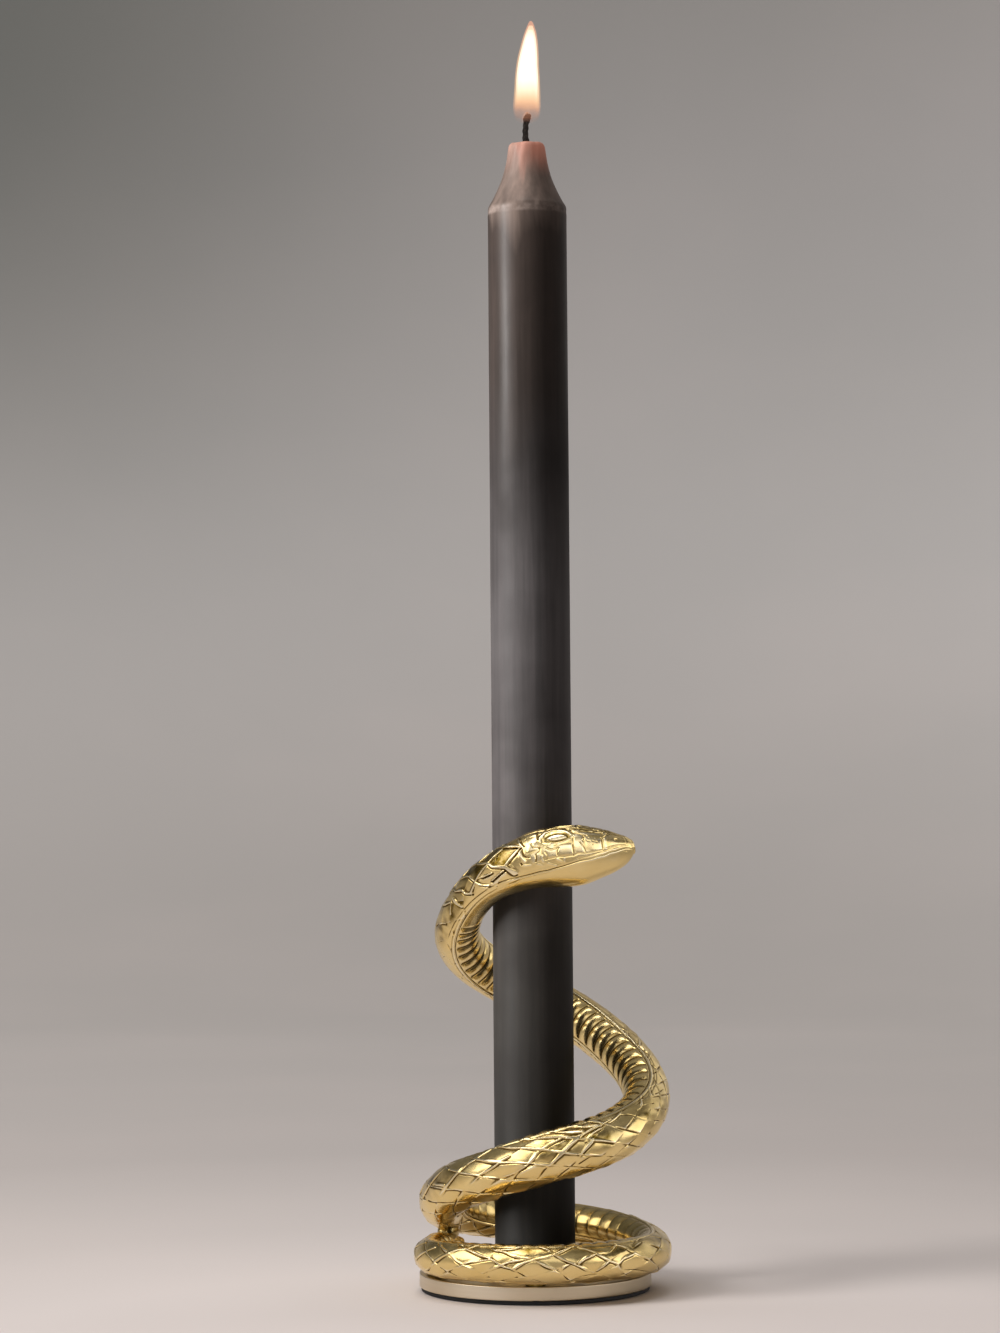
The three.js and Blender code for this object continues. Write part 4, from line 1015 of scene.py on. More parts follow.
shade += 0.85 * notch + 0.62 * stipple * (CC > 0)
shade += 0.30 * IN_BELLY * BELLY_END * (1 - np.clip(ridge, 0, 1) ** 1.5)
shade += 0.30 * box(SS, 95, 200, 8) * IN_BELLY * BELLY_END
shade = np.where(raised > 0.07, shade * 0.25, shade)
# painted highlight on the eye and cheeks through a lower relief, and painted shade in a ring round the eye
eye = np.clip(1.15 - np.hypot((SS - 441.3) / 2.3, (CC - 5.55) / 0.85), 0, 0.3) / 0.3
lid = np.exp(-((np.hypot((SS - 441.3) / 2.85, (CC - 5.55) / 1.30) - 1) / 0.21) ** 2) * (CC > 0)
shade += 0.95 * lid
# painted dark reflection in spots on the top of the head
shade += 0.80 * np.exp(-(((SS - 449) / 13) ** 2 + ((CC - 2.9) / 1.3) ** 2)) * np.clip(1.4 * drift(15, 0.4) - 0.3, 0, 1) * (CC > 0)
cheek = box(SS, 434, 458, 3) * box(np.abs(CC), 3.4, 11.5, 1.5)
relief -= 0.14 * eye * (CC > 0) + 0.05 * cheek
# painted highlight on a patch of the second turn
relief -= 0.04 * np.exp(-(((SS - 249) / 10) ** 2 + ((CC + 5.5) / 3.2) ** 2))
shade = np.clip(blur(shade, 0.12), 0, 1)
height -= 0.09
height = np.where(height > -0.03, -0.03 + 0.05 * np.tanh((height + 0.03) / 0.05), height)
height *= (0.25 + 0.75 * ease(SS, 0, 5))

# ------------------------------------------------------- snake's fine surface

cosq, sinq = np.cos(Q)[None, :, None], np.sin(Q)[None, :, None]
around = BACK[:, None, :] * (H[:, None, None] * cosq) + SIDE[:, None, :] * (W[:, None, None] * sinq)
outward = unit(BACK[:, None, :] * (cosq / H[:, None, None]) + SIDE[:, None, :] * (sinq / W[:, None, None]))
skin = P[:, None, :] + around + outward * height[:, :, None]

# rounded ends: rings that close on a point
tail_rows, snout_rows = 12, 18
first = skin[0] - P[0]
tail = []
for k in range(1, tail_rows):
    a = math.pi / 2 * (1 - k / tail_rows)
    tail.append(P[0] - ALONG[0] * TAIL_CAP * math.sin(a) + first * math.cos(a))
last = skin[-1] - P[-1]
reach = SNOUT - P[-1]
snout = []
for k in range(1, snout_rows):
    a = math.pi / 2 * k / snout_rows
    snout.append(P[-1] + reach * math.sin(a) + last * math.cos(a) ** 0.9)
surface = np.concatenate([np.array(tail), skin, np.array(snout)])
tail_tip, snout_tip = P[0] - ALONG[0] * TAIL_CAP, SNOUT
T0 = len(tail)
d_row = np.empty_like(surface)
d_row[1:-1] = surface[2:] - surface[:-2]
d_row[0], d_row[-1] = surface[1] - tail_tip, snout_tip - surface[-2]
d_col = np.roll(surface, -1, axis=1) - np.roll(surface, 1, axis=1)
facing = unit(np.cross(d_col, d_row))
relief_rows = np.concatenate([np.repeat(relief[:1], T0, 0), relief, np.repeat(relief[-1:], len(snout), 0)])
shade_rows = np.concatenate([np.repeat(shade[:1], T0, 0), shade, np.repeat(shade[-1:], len(snout), 0)])
BODY_ROWS = T0 + int(round(HEAD_S / STEP))


def snake_piece(name, rows, cols, cap_first=False, cap_last=False, seam_row=None):
    """Closed-up strip of the snake from the fine grid. seam_row is a row at full width that the strip is joined to."""
    v = surface[np.ix_(rows, cols)].reshape(-1, 3)
    n = facing[np.ix_(rows, cols)].reshape(-1, 3)
    r = relief_rows[np.ix_(rows, cols)].ravel()
    dark = shade_rows[np.ix_(rows, cols)].ravel()
    m, k = len(rows), len(cols)
    i, j = np.meshgrid(np.arange(m - 1), np.arange(k), indexing="ij")
    i, j = i.ravel(), j.ravel()
    j2 = (j + 1) % k
    quads = np.stack([i * k + j, i * k + j2, (i + 1) * k + j2, (i + 1) * k + j], 1)
    uu, vv = i / (m - 1), j / k
    u2, v2 = (i + 1) / (m - 1), (j + 1) / k
    uv = np.stack([np.stack([uu, vv], 1), np.stack([uu, v2], 1), np.stack([u2, v2], 1), np.stack([u2, vv], 1)], 1).reshape(-1, 2)
    faces = quads.tolist()
    uv = [uv]
    extra_v, extra_n, extra_r, extra_d = [], [], [], []
    base = m * k
    if cap_first:
        extra_v.append(tail_tip[None]); extra_n.append(-ALONG[:1]); extra_r.append(np.zeros(1)); extra_d.append(np.zeros(1))
        for a in range(k):
            b = (a + 1) % k
            faces.append([base, b, a])
            uv.append(np.array([[0, 0.5], [0, (a + 1) / k], [0, a / k]]))
        base += 1
    if cap_last:
        extra_v.append(snout_tip[None]); extra_n.append(unit(reach)[None]); extra_r.append(np.zeros(1)); extra_d.append(np.zeros(1))
        e = (m - 1) * k
        for a in range(k):
            b = (a + 1) % k
            faces.append([base, e + a, e + b])
            uv.append(np.array([[1, 0.5], [1, a / k], [1, (a + 1) / k]]))
        base += 1
    if seam_row is not None:
        extra_v.append(surface[seam_row]); extra_n.append(facing[seam_row]); extra_r.append(relief_rows[seam_row]); extra_d.append(shade_rows[seam_row])
        e = (m - 1) * k
        for a in range(k):
            b = (a + 1) % k
            p, q, w = 2 * a, 2 * a + 1, (2 * a + 2) % COLS
            faces.append([e + a, e + b, base + w, base + q, base + p])
            uv.append(np.array([[0.999, a / k], [0.999, (a + 1) / k], [1, (a + 1) / k], [1, (a + 0.5) / k], [1, a / k]]))
    v = np.concatenate([v] + extra_v)
    n = np.concatenate([n] + extra_n)
    r = np.concatenate([r] + extra_r)
    dark = np.concatenate([dark] + extra_d)
    ob = mesh_object(name, v * MM, faces, MAT_GOLD, normals=n, uv=np.concatenate(uv))
    for key, values in (("relief", r), ("shade", dark)):
        at = ob.data.attributes.new(key, "FLOAT", "POINT")
        at.data.foreach_set("value", values.astype(np.float32))
    return finished(ob, "holder", "snake_gold", "snake_casting")


half_cols = np.arange(0, COLS, 2)
all_cols = np.arange(COLS)
cuts = [0, 72, 144, 216, 288, 360]
for k, s0 in enumerate(cuts):
    a = T0 + int(round(s0 / STEP))
    if k + 1 < len(cuts):
        b = T0 + int(round(cuts[k + 1] / STEP))
        rows = np.arange(a, b + 1, 2)
        rows = np.r_[np.arange(0, T0), rows] if k == 0 else rows
        snake_piece(f"snake_body_{k + 1}", rows, half_cols, cap_first=(k == 0))
    else:
        snake_piece(f"snake_body_{k + 1}", np.arange(a, BODY_ROWS - 1, 2), half_cols, seam_row=BODY_ROWS)
middle_row = (BODY_ROWS + len(surface)) // 2
snake_piece("snake_head_back", np.arange(BODY_ROWS, middle_row + 1), all_cols)
snake_piece("snake_head_front", np.arange(middle_row, len(surface)), all_cols, cap_last=True)

# web of metal that joins the tail to the second turn above it
def web_mesh():
    """A cushion of metal with hollowed flanks, turned to lie along the coil."""
    rows, cols = 28, 48
    a0, r0, z0 = math.radians(152), 27.1, 14.1
    verts, faces = [], []
    for i in range(1, rows):
        t = math.pi * i / rows
        for j in range(cols):
            q = 2 * math.pi * j / cols
            x, y, z = math.cos(t), math.sin(t) * math.cos(q), math.sin(t) * math.sin(q)
            waist = 1 - 0.10 * (1 - z * z) * (1 - x * x)
            grain = 1 + 0.02 * math.sin(5 * q + 3 * t) - 0.02
            verts.append((4.4 * x, 2.88 * y * waist * grain, 2.68 * z))
    verts += [(4.4, 0, 0), (-4.4, 0, 0)]
    n = (rows - 1) * cols
    for i in range(rows - 2):
        for j in range(cols):
            k = (j + 1) % cols
            faces.append([i * cols + j, (i + 1) * cols + j, (i + 1) * cols + k, i * cols + k])
    for j in range(cols):
        k = (j + 1) % cols
        faces.append([n, j, k])
        faces.append([n + 1, (rows - 2) * cols + k, (rows - 2) * cols + j])
    v = np.array(verts)
    a = a0 + math.pi / 2
    x = v[:, 0] * math.cos(a) - v[:, 1] * math.sin(a) + r0 * math.cos(a0)
    y = v[:, 0] * math.sin(a) + v[:, 1] * math.cos(a) + r0 * math.sin(a0)
    return mesh_object("snake_tail_web", np.stack([x, y, v[:, 2] + z0], 1) * MM, faces, MAT_GOLD)


web = finished(web_mesh(), "holder", "snake_gold", "snake_casting")
# painted shade: the web is coloured dark as if in the shadow under the second turn
web.data.attributes.new("shade", "FLOAT", "POINT").data.foreach_set("value", np.full(len(web.data.vertices), 0.6, np.float32))

# cast feet under the lowest turn, with their screw bores
FEET = [(-165, 27.6), (-90, 28.6), (-15, 28.6)]
for k, (angle, r) in enumerate(FEET):
    x, y = r * math.cos(math.radians(angle)), r * math.sin(math.radians(angle))
    foot = lathe(f"snake_foot_{k + 1}", [(1.65, 10.0), (1.65, 4.96)] + [(2.66, 4.96), (2.77, 5.02), (2.8, 5.15), (2.74, 5.6), (2.72, 6.4), (2.78, 10.0)],
                 MAT_GOLD, 64, centre=(x, y), closed_ring=True)
    # painted shade: the feet are coloured fully dark, to read as the shadow gap under the lowest turn
    at = foot.data.attributes.new("shade", "FLOAT", "POINT")
    at.data.foreach_set("value", np.full(len(foot.data.vertices), 1.0, np.float32))
    finished(foot, "holder", "snake_gold", "snake_casting")

# ----------------------------------------------------------- base and socket

def cut_holes(ob, holes, name):
    """Takes countersunk holes out of a turned piece."""
    parts = []
    for x, y in holes:
        parts.append(lathe("cutter", [(0, 0.6), (3.1, 0.6), (3.1, 1.25), (1.7, 2.8), (1.7, 5.4), (0, 5.4)], MAT_STEEL, 48, centre=(x, y)))
    for c in parts:
        mod = ob.modifiers.new("hole", "BOOLEAN")
        mod.operation = "DIFFERENCE"
        mod.solver = "EXACT"
        mod.object = c
    bpy.context.view_layer.update()
    done = bpy.data.meshes.new_from_object(ob.evaluated_get(bpy.context.evaluated_depsgraph_get()))
    ob.modifiers.clear()
    ob.data = done
    ob.data.name = name
    for c in parts:
        bpy.data.objects.remove(c)
    ob.data.materials.clear()
    ob.data.materials.append(MAT_DISC)
    ob.data.polygons.foreach_set("use_smooth", [True] * len(ob.data.polygons))
    ob.data.set_sharp_from_angle(angle=math.radians(30))
    ob.data.update()


R, B, T = 31.68, 1.12, 4.9
disc_profile = ([(0, B)] + [(r, B) for r in (6, 12, 18, 24, 29)] + arc(R - 0.28, B + 0.28, 0.28, -90, 0, 6)
                + [(R, B + 1.0), (R, B + 1.9), (R, T - 1.0)] + arc(R - 0.38, T - 0.38, 0.38, 0, 90, 8)
                + [(r, T) for r in (29, 24, 18, 12, 6)] + [(0, T)])
disc = lathe("disc", disc_profile, MAT_DISC, 256)
cut_holes(disc, [(0, 0)] + [(r * math.cos(math.radians(a)), r * math.sin(math.radians(a))) for a, r in FEET], "disc")
finished(disc, "holder", "disc_metal", "base_disc")

pad_profile = ([(0, 0.0)] + [(r, 0.0) for r in (10, 20, 28)] + arc(31.18 - 0.22, 0.22, 0.22, -90, 0, 5)
               + arc(31.18 - 0.14, 1.03 - 0.14, 0.14, 0, 90, 4) + [(20, 1.03), (0, 1.03)])
finished(lathe("pad", pad_profile, MAT_PAD, 256), "holder", "pad_rubber", "base_pad")

cup_profile = ([(1.7, 4.96), (8, 4.96), (12.0, 4.96)] + arc(12.2, 5.16, 0.2, -90, -40, 3) + [(12.9, 5.66)]
               + [(12.98, 5.9), (12.98, 8.0), (12.98, 10.6)] + arc(12.98 - 0.42, 10.76, 0.42, 0, 90, 6)
               + arc(11.95, 10.72, 0.46, 90, 180, 6) + [(11.47, 9.0), (11.47, 7.0)] + arc(11.47 - 0.4, 6.95, 0.4, 0, -90, 5)
               + [(8, 6.55), (1.7, 6.55)])
finished(lathe("cup", cup_profile, MAT_CUP, 192, closed_ring=True), "holder", "cup_brass", "candle_cup")

spike = [(1.65, 11.3), (1.65, 6.62), (3.1, 6.62), (3.26, 6.75), (3.27, 6.95)]
spike += [(3.27 - 2.82 * k / 10, 6.95 + 18.0 * k / 10) for k in range(1, 11)]
spike += [(0.38, 25.1), (0.2, 25.24), (0, 25.28)]
ob = lathe("pricket_spike", [(0, 11.3)] + spike, MAT_STEEL, 96)
finished(ob, "holder", "screw_steel", "pricket")
for node in ("pricket_screw", "snake_screw_1", "snake_screw_2", "snake_screw_3"):
    for slot in frame["nodes"][node].material_slots:
        slot.material = MAT_STEEL

# -------------------------------------------------------------------- candle

noise = np.random.default_rng(7)
waves = [(n, noise.uniform(0, 6.28), noise.uniform(0.4, 1.0) / n) for n in (2, 3, 5, 8, 13)]
lumps = [(n, noise.uniform(0, 6.28), noise.uniform(0.5, 1.0)) for n in (4, 7, 9, 13, 17, 23, 31)]


def candle_shape(a, r, z):
    """Small unevenness of a dipped candle, a beaded shoulder and a melted lip."""
    z0, r0 = float(z[0]), float(r[0])
    if r0 < 4.2 and z0 < 313.4:
        return r, z
    wob = sum(g * np.cos(n * a + f + 0.021 * z0 * n) for n, f, g in waves)
    r = r + 0.028 * wob * (1 if z0 < 295 else 0.6)
    if 292.5 < z0 < 301:
        bead = sum(g * np.cos(n * a + f + 0.5 * z0) for n, f, g in lumps) / 2.6
        r = r + math.exp(-((z0 - 296.6) / 1.1) ** 2) * (0.05 + 0.13 * np.clip(bead + 0.2, 0, 1.4))
        r = r - math.exp(-((z0 - 294.9) / 0.45) ** 2) * 0.05 * (1 + bead * 0.5)
    if z0 > 301 and r0 > 4.0:
        r = r + 0.045 * sum(g * np.cos(n * a + f - 0.35 * z0) for n, f, g in lumps[:4]) * ease(np.array([z0]), 301, 311)[0]
    if z0 > 311.5:
        z = z + 0.10 * np.cos(a * 2 + 0.7) + 0.06 * np.cos(5 * a + 2.0)
    return r, z


def candle_profile():
    out = [(3.65, 6.65), (6.0, 6.65), (9.5, 6.65), (10.5, 6.65)] + arc(10.55, 7.1, 0.44, -90, 0, 5)[1:]
    for z in np.arange(9.0, 293.6, 2.4):
        out.append((10.99 - 0.05 * min(z / 100, 1) - 0.05 * np.clip((z - 100) / 100, 0, 1) - 0.04 * np.clip((z - 200) / 95, 0, 1), z))
    knots = np.array([(294.0, 10.87), (294.6, 10.85), (295.3, 10.80), (295.9, 10.70), (296.6, 10.48), (297.5, 10.0), (298.9, 9.3), (301.6, 8.0),
                      (304.1, 6.95), (306.6, 6.2), (309.2, 5.6), (311.4, 5.25), (312.3, 5.12)])
    for z in np.r_[np.arange(294.0, 299.0, 0.22), np.arange(299.1, 312.3, 0.45)]:
        out.append((float(curve(knots[:, 0], knots[:, 1], z)), float(z)))
    out += [(5.08, 312.5), (5.02, 312.9), (4.9, 313.3), (4.68, 313.65), (4.4, 313.92), (4.1, 314.08), (3.8, 314.12), (3.45, 314.08), (3.0, 313.9),
            (2.55, 313.62), (2.1, 313.36), (1.7, 313.12), (1.42, 312.95), (1.32, 312.7)]
    out += [(1.32, z) for z in (300, 250, 200, 150, 100, 60, 30, 27.2)]
    out += [(0.85, 25.7), (1.9, 19.0), (2.8, 12.5)]
    return out


candle = lathe("taper_candle", candle_profile(), MAT_WAX, 192, shift=candle_shape, closed_ring=True, sharp=50)
finished(candle, "taper", "wax", "candle")


def wick_mesh():
    """Braided wick: three strands wound round each other, bent above the wax."""
    levels = np.r_[np.arange(27.7, 310, 6.0), np.arange(310.2, 322.36, 0.16)]
    n = 48
    a = np.arange(n) * 2 * math.pi / n
    verts, faces = [], []
    for z in levels:
        u = max(z - 313, 0) / 9.4
        cx, cy = 0.55 * u**3 - 0.35 * math.sin(math.pi * u), -0.1 * math.sin(math.pi * u)
        twist = 1.25 * z
        strands = np.abs(np.cos(1.5 * (a - twist)))
        back_twist = np.abs(np.cos(1.5 * (a + twist * 0.9)))
        r = 0.80 + 0.13 * strands + 0.06 * back_twist
        r = r * (1 + 0.05 * math.sin(z * 2.1)) * (1 - 0.16 * ease(np.array([z]), 314, 318)[0])
        r = r * (1 + 0.18 * ease(np.array([z]), 318.6, 320.6)[0])
        if z > 321.7:
            r = r * math.sqrt(max(1 - ((z - 321.7) / 0.72) ** 2, 0.02))
        r = np.minimum(r, 0.995)
        verts += [(cx + q * math.cos(b), cy + q * math.sin(b), z) for q, b in zip(r, a)]
    m = len(levels)
    for i in range(m - 1):
        for j in range(n):
            k = (j + 1) % n
            faces.append([i * n + j, i * n + k, (i + 1) * n + k, (i + 1) * n + j])
    verts.append((0, 0, 27.65))
    verts.append((0.55, 0.0, 322.38))
    for j in range(n):
        k = (j + 1) % n
        faces.append([m * n, k, j])
        faces.append([m * n + 1, (m - 1) * n + j, (m - 1) * n + k])
    return mesh_object("braided_wick", np.array(verts) * MM, faces, MAT_WICK)


finished(wick_mesh(), "taper", "wick_cotton", "wick")

# --------------------------------------------------------------------- flame

FLAME = np.array([
    [319.9, 1.95, 0.15], [320.3, 2.7, 0.15], [321.6, 3.4, 0.18], [323.4, 3.72, 0.2], [326.0, 3.7, 0.22], [329.2, 3.55, 0.26],
    [332.3, 3.4, 0.33], [335.3, 3.15, 0.46], [338.2, 2.86, 0.68], [340.9, 2.44, 0.93], [343.2, 2.00, 1.15], [345.2, 1.48, 1.32],
    [346.9, 0.85, 1.42]])
FLAME_TIP = (1.46, 348.05)


def flame_shell(name, inset, z_low, z_top, pocket, material, squeeze=1.0):
    """One closed skin of the flame, inset from its outline, with a hollow at its foot for the wick."""
    n = 96
    a = np.arange(n) * 2 * math.pi / n
    rows = []
    for t in np.linspace(0, 1, 12)[::-1]:
        if pocket > 0:
            rows.append((max(pocket * math.sin(math.pi / 2 * t), 1e-3), z_low + (322.9 - z_low) * math.cos(math.pi / 2 * t), 0.2))
    for k in range(81):
        u = k / 80
        z = z_low + (z_top - z_low) * (1 - (1 - u) ** 1.35) if u < 1 else z_top
        src = 319.9 + (348.0 - 319.9) * (z - z_low) / (z_top - z_low) if squeeze < 1 else z
        r = float(curve(FLAME[:, 0], FLAME[:, 1], min(src, 346.9)))
        if src > 346.9:
            r = 0.85 * math.sqrt(max(1 - (src - 346.9) / (348.05 - 346.9), 0.0))
        r = max(r - inset, 0.0) * squeeze
        if z < z_low + 1.0:
            r = max(pocket, 0.0) + (r - max(pocket, 0.0)) * math.sqrt(1 - (1 - (z - z_low) / 1.0) ** 2)
        x = float(curve(FLAME[:, 0], FLAME[:, 2], min(z, 346.9)))
        rows.append((max(r, 0.0), z, x))
    verts, index, faces = [], [], []
    for r, z, x in rows:
        if r < 0.02:
            index.append([len(verts)])
            verts.append((x, 0, z))
        else:
            index.append(list(range(len(verts), len(verts) + n)))
            ripple = 1 + 0.012 * np.sin(3 * a + z * 0.5)
            verts += [(x + r * w * math.cos(b), r * w * math.sin(b), z) for w, b in zip(ripple, a)]
    for p, q in zip(index[:-1], index[1:]):
        for j in range(n):
            k = (j + 1) % n
            if len(p) == 1 and len(q) == 1:
                break
            if len(p) == 1:
                faces.append([p[0], q[k], q[j]])
            elif len(q) == 1:
                faces.append([p[j], p[k], q[0]])
            else:
                faces.append([p[j], p[k], q[k], q[j]])
    if len(index[0]) > 1:
        faces.append(index[0][::-1])
    return mesh_object(name, np.array(verts) * MM, faces, material)


MAT_FLAME_OUT = flame_material("flame_outer", [(0.0, (0.50, 0.23, 0.16)), (0.10, (0.85, 0.43, 0.28)), (0.30, (1.0, 0.62, 0.34)), (0.75, (1.0, 0.60, 0.36)), (1.0, (0.95, 0.45, 0.30))],
                               1.0, [(0.0, 0.02), (0.10, 0.10), (0.18, 0.28), (0.6, 0.34), (1.0, 0.42)], 319.9, 348.0)
MAT_FLAME_MID = flame_material("flame_middle", [(0.0, (0.50, 0.22, 0.13)), (0.12, (0.66, 0.33, 0.18)), (0.22, (0.78, 0.52, 0.30)), (0.46, (1.0, 0.92, 0.74)), (0.9, (1.0, 0.92, 0.74)), (1.0, (0.95, 0.66, 0.42))],
                               1.5, [(0.0, 0.02), (0.09, 0.08), (0.22, 0.5), (0.5, 0.7), (1.0, 0.6)], 320.6, 346.6)
MAT_FLAME_IN = flame_material("flame_core", [(0.0, (0.42, 0.21, 0.12)), (0.08, (0.50, 0.28, 0.16)), (0.15, (0.60, 0.41, 0.26)), (0.36, (1.0, 0.95, 0.84)), (0.9, (1.0, 0.97, 0.90)), (1.0, (1.0, 0.86, 0.60))],
                              2.2, [(0.0, 0.0), (0.06, 0.15), (0.16, 0.7), (0.28, 1.0), (1.0, 1.0)], 323.4, 345.2)
finished(flame_shell("flame_outer_skin", 0.0, 319.95, 348.0, 1.7, MAT_FLAME_OUT), "taper", "flame", "flame")
finished(flame_shell("flame_middle_skin", 0.42, 320.9, 346.7, 1.2, MAT_FLAME_MID), "taper", "flame", "flame")
finished(flame_shell("flame_core_skin", 0.85, 323.4, 345.4, 0.0, MAT_FLAME_IN), "taper", "flame", "flame")

# -------------------------------------------------------------- studio

def stage_material():
    """Paper with painted light: a painted pool of light under the object, painted shade greyer up the wall, with faint
    clouds and a painted glow on the wall.
    """
    s = Shader("studio_paper", Metallic=0.0)
    s.b.inputs["Specular IOR Level"].default_value = 0.2
    p = s.coords()
    x, y, z = s.xyz(p)
    cloud = s.noise(p, 1.3, 3.0, 0.55)
    cloud_2 = s.noise(s.scaled(p, 1.0, 1.0, 0.7), 3.1, 3.0, 0.55)
    paper = s.noise(p, 900.0, 3.0, 0.6)
    # painted pool of light: the floor is lightest round the object and darker further out
    near = s.math("ADD", y, 0.10)
    dist = s.math("SQRT", s.math("ADD", s.math("MULTIPLY", x, x), s.math("MULTIPLY", near, near)))
    tone = s.ramp(s.span(dist, 0.0, 1.0), [
        (0.0, (0.70, 0.642, 0.624)), (0.14, (0.695, 0.637, 0.619)), (0.24, (0.600, 0.552, 0.534)), (0.45, (0.500, 0.463, 0.448)),
        (0.80, (0.530, 0.496, 0.480)), (1.0, (0.55, 0.517, 0.500))])
    # painted shade: the wall greys upwards, and the front wall is first a little lighter
    back = s.span(y, 0.2, 1.1, 0.0, 1.0, True)
    high = s.ramp(s.span(z, 0.0, 1.1), [(0.0, (1.0, 1.0, 1.0)), (0.10, (0.92, 0.925, 0.925)), (0.27, (0.74, 0.75, 0.755)), (0.45, (0.62, 0.63, 0.635)),
                                        (0.62, (0.54, 0.545, 0.55)), (0.75, (0.48, 0.485, 0.485)), (1.0, (0.42, 0.42, 0.42))])
    front = s.ramp(s.span(z, 0.0, 1.1), [(0.0, (1.0, 1.0, 1.0)), (0.3, (1.12, 1.12, 1.12)), (0.55, (0.85, 0.85, 0.85)), (0.8, (0.45, 0.45, 0.45)), (1.0, (0.35, 0.35, 0.35))])
    tone = s.mix(1.0, tone, s.mix(back, front, high), "MULTIPLY")
    # painted shade on the upper left of the back wall
    left = s.math("MULTIPLY", s.span(x, 0.12, -0.50, 0.0, 1.0, True), s.span(z, 0.08, 0.80, 0.0, 1.0, True))
    left = s.math("MULTIPLY", left, back)
    tone = s.mix(s.math("MULTIPLY", left, 0.85), tone, (0.120, 0.122, 0.113))
    # painted light: the back wall a little darker at the middle and lighter to the right
    across = s.ramp(s.span(x, -0.47, 0.47), [(0.0, (1.0, 1.0, 1.0)), (0.35, (0.975, 0.975, 0.975)), (0.55, (0.955, 0.955, 0.955)),
                                             (0.75, (1.0, 1.0, 1.0)), (1.0, (1.08, 1.085, 1.09))])
    tone = s.mix(1.0, tone, s.mix(back, (0.965, 0.965, 0.965), across), "MULTIPLY")
    tone = s.mix(s.span(cloud, 0.35, 0.65, 0.0, 0.16), tone, s.mix(1.0, tone, (0.80, 0.82, 0.80), "MULTIPLY"))
    tone = s.mix(s.span(cloud_2, 0.42, 0.68, 0.0, 0.5), tone, s.mix(1.0, tone, (1.10, 1.075, 1.07), "MULTIPLY"))
    s.set("Base Color", tone)
    # painted light: the wall glows with its own colour, fading in over the first 0.35 m up
    s.set("Emission Color", s.mix(s.span(z, 0.0, 0.35, 0.0, 1.0, True), (0.0, 0.0, 0.0), tone))
    s.b.inputs["Emission Strength"].default_value = 0.32
    s.set("Roughness", s.span(paper, 0.3, 0.7, 0.72, 0.85))
    s.set("Normal", s.bump(paper, 0.00003, 0.3))
    return s.m


def add_stage():
    """Pale floor that turns up into a round wall, open above."""
    floor_r, bend, top = 1.0, 1.4, 2.6
    profile = [(0, -0.1)] + [(r * 1000, -0.1) for r in np.linspace(0.04, floor_r, 25)]
    profile += [((floor_r + bend * math.sin(t)) * 1000, bend * (1 - math.cos(t)) * 1000) for t in np.linspace(0, math.pi / 2, 40)[1:]]
    profile += [((floor_r + bend) * 1000, z * 1000) for z in np.linspace(bend, top, 10)[1:]]
    ob = lathe("studio_cove", profile, stage_material(), 160, sharp=None)
    return ob


cove = add_stage()


def area(name, at, aim, size, radiance, colour=(1, 1, 1), glossy=True):
    """Soft box; radiance is what a mirror would show of it."""
    d = bpy.data.lights.new(name, "AREA")
    d.shape = "RECTANGLE"
    d.size, d.size_y = size
    d.energy = radiance * math.pi * size[0] * size[1]
    d.color = colour
    ob = bpy.data.objects.new(name, d)
    bpy.context.scene.collection.objects.link(ob)
    at, aim = Vector(at), Vector(aim)
    ob.location = at
    ob.rotation_euler = (aim - at).to_track_quat("-Z", "Y").to_euler()
    ob.visible_camera = False
    ob.visible_glossy = glossy
    return ob


def link_light(light, obs, state):
    """Lets a light reach only these objects, or all but these."""
    group = bpy.data.collections.new(light.name + "_" + state.lower())
    for ob in obs:
        group.objects.link(ob)
    for item in group.collection_objects:
        item.light_linking.link_state = state
    light.light_linking.receiver_collection = group


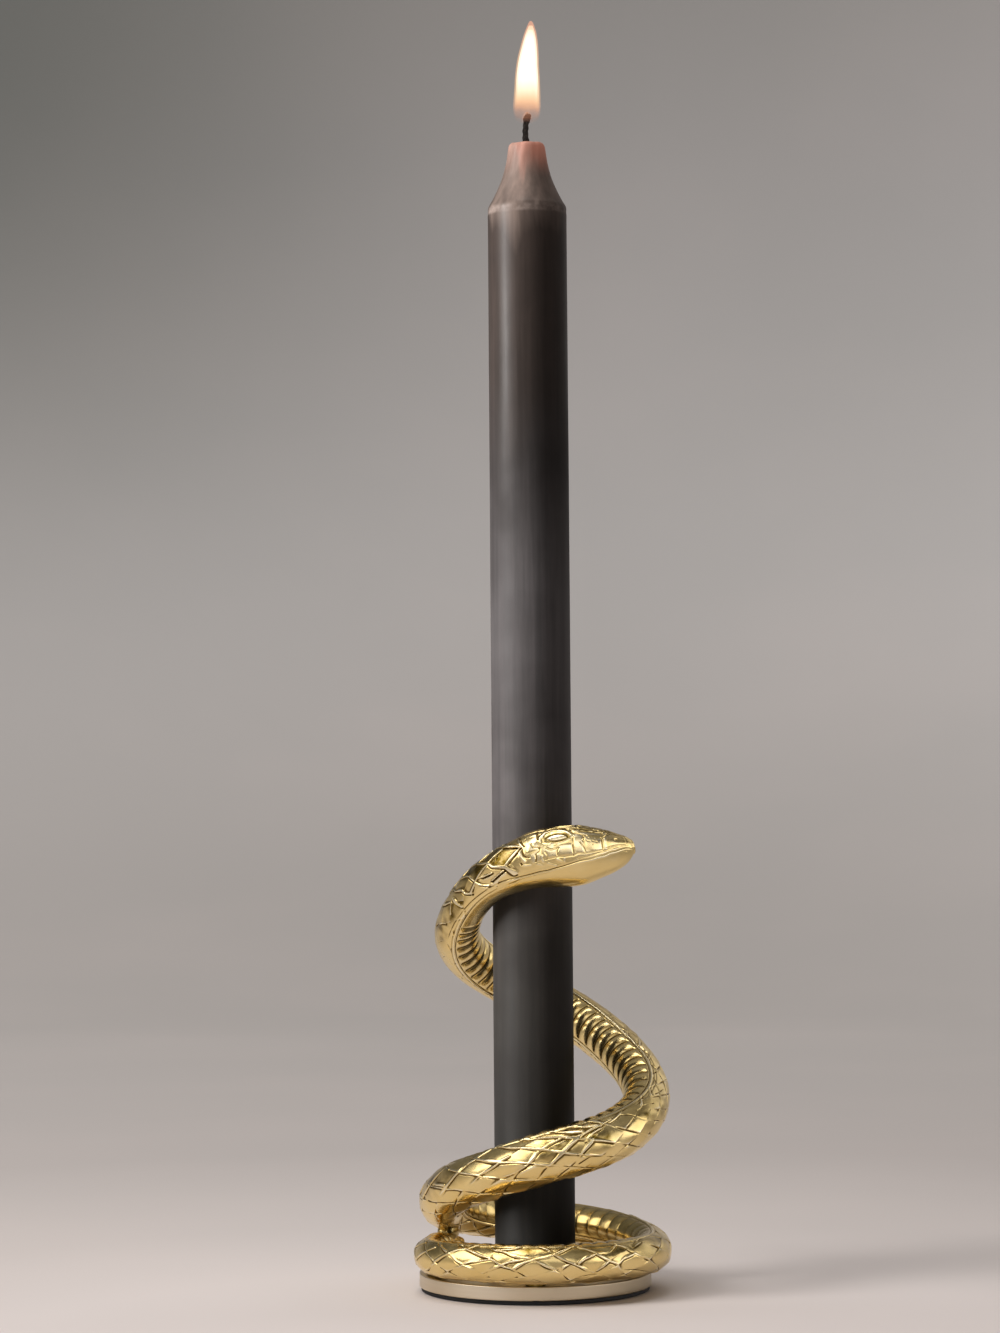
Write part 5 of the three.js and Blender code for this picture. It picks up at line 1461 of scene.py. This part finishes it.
head = [ob for ob in bpy.data.objects if ob.name in ("snake_head_back", "snake_head_front")]
link_light(area("key", (-1.00, -0.42, 0.86), (0, 0, 0.12), (1.15, 0.90), 2.85, (1.0, 0.965, 0.93)), [cove], "EXCLUDE")
link_light(area("floor_key", (-1.00, -0.42, 0.86), (0, 0, 0.0), (0.45, 0.45), 16.6, (1.0, 0.965, 0.93)), [cove], "INCLUDE")
area("overhead", (-0.20, -0.17, 1.22), (0, 0, 0.08), (0.40, 0.78), 4.3, (1.0, 0.97, 0.945))
area("wall_wash", (0.0, 0.6, 2.6), (0, 2.3, 0.6), (2.4, 0.8), 4.6, (1.0, 0.985, 0.97), glossy=False)
# panels for the metal, flagged off the candle, so that its far side stays dark, and off the floor
link_light(area("front", (0.00, -1.28, 0.86), (0, 0, 0.10), (1.30, 0.65), 1.10, (1.0, 0.975, 0.95)), [candle, cove], "EXCLUDE")
link_light(area("right_fill", (1.20, -0.48, 0.50), (0, 0, 0.05), (1.60, 0.80), 1.40, (1.0, 0.975, 0.96)), [candle, cove], "EXCLUDE")
link_light(area("right_back", (1.00, 0.85, 0.75), (0, 0, 0.06), (1.10, 0.90), 0.45, (1.0, 0.975, 0.96)), [candle, cove], "EXCLUDE")
# one for the head alone, and a strip for the candle alone
link_light(area("head_panel", (0.26, -0.98, 0.66), (0.01, -0.02, 0.12), (0.95, 1.15), 0.56, (1.0, 0.98, 0.95)), head, "INCLUDE")
link_light(area("candle_strip", (-1.15, -0.42, 0.42), (0, 0, 0.17), (0.42, 0.90), 35.0, (1.0, 0.965, 0.94)), [candle], "INCLUDE")

world = bpy.data.worlds.new("studio")
bpy.context.scene.world = world
world.use_nodes = True
world.node_tree.nodes["Background"].inputs["Color"].default_value = (0.50, 0.48, 0.47, 1.0)
world.node_tree.nodes["Background"].inputs["Strength"].default_value = 0.50

view = bpy.context.scene.view_settings
view.view_transform = "Standard"
view.look = "None"
view.exposure = 0.0
view.gamma = 1.0

bpy.context.view_layer.update()
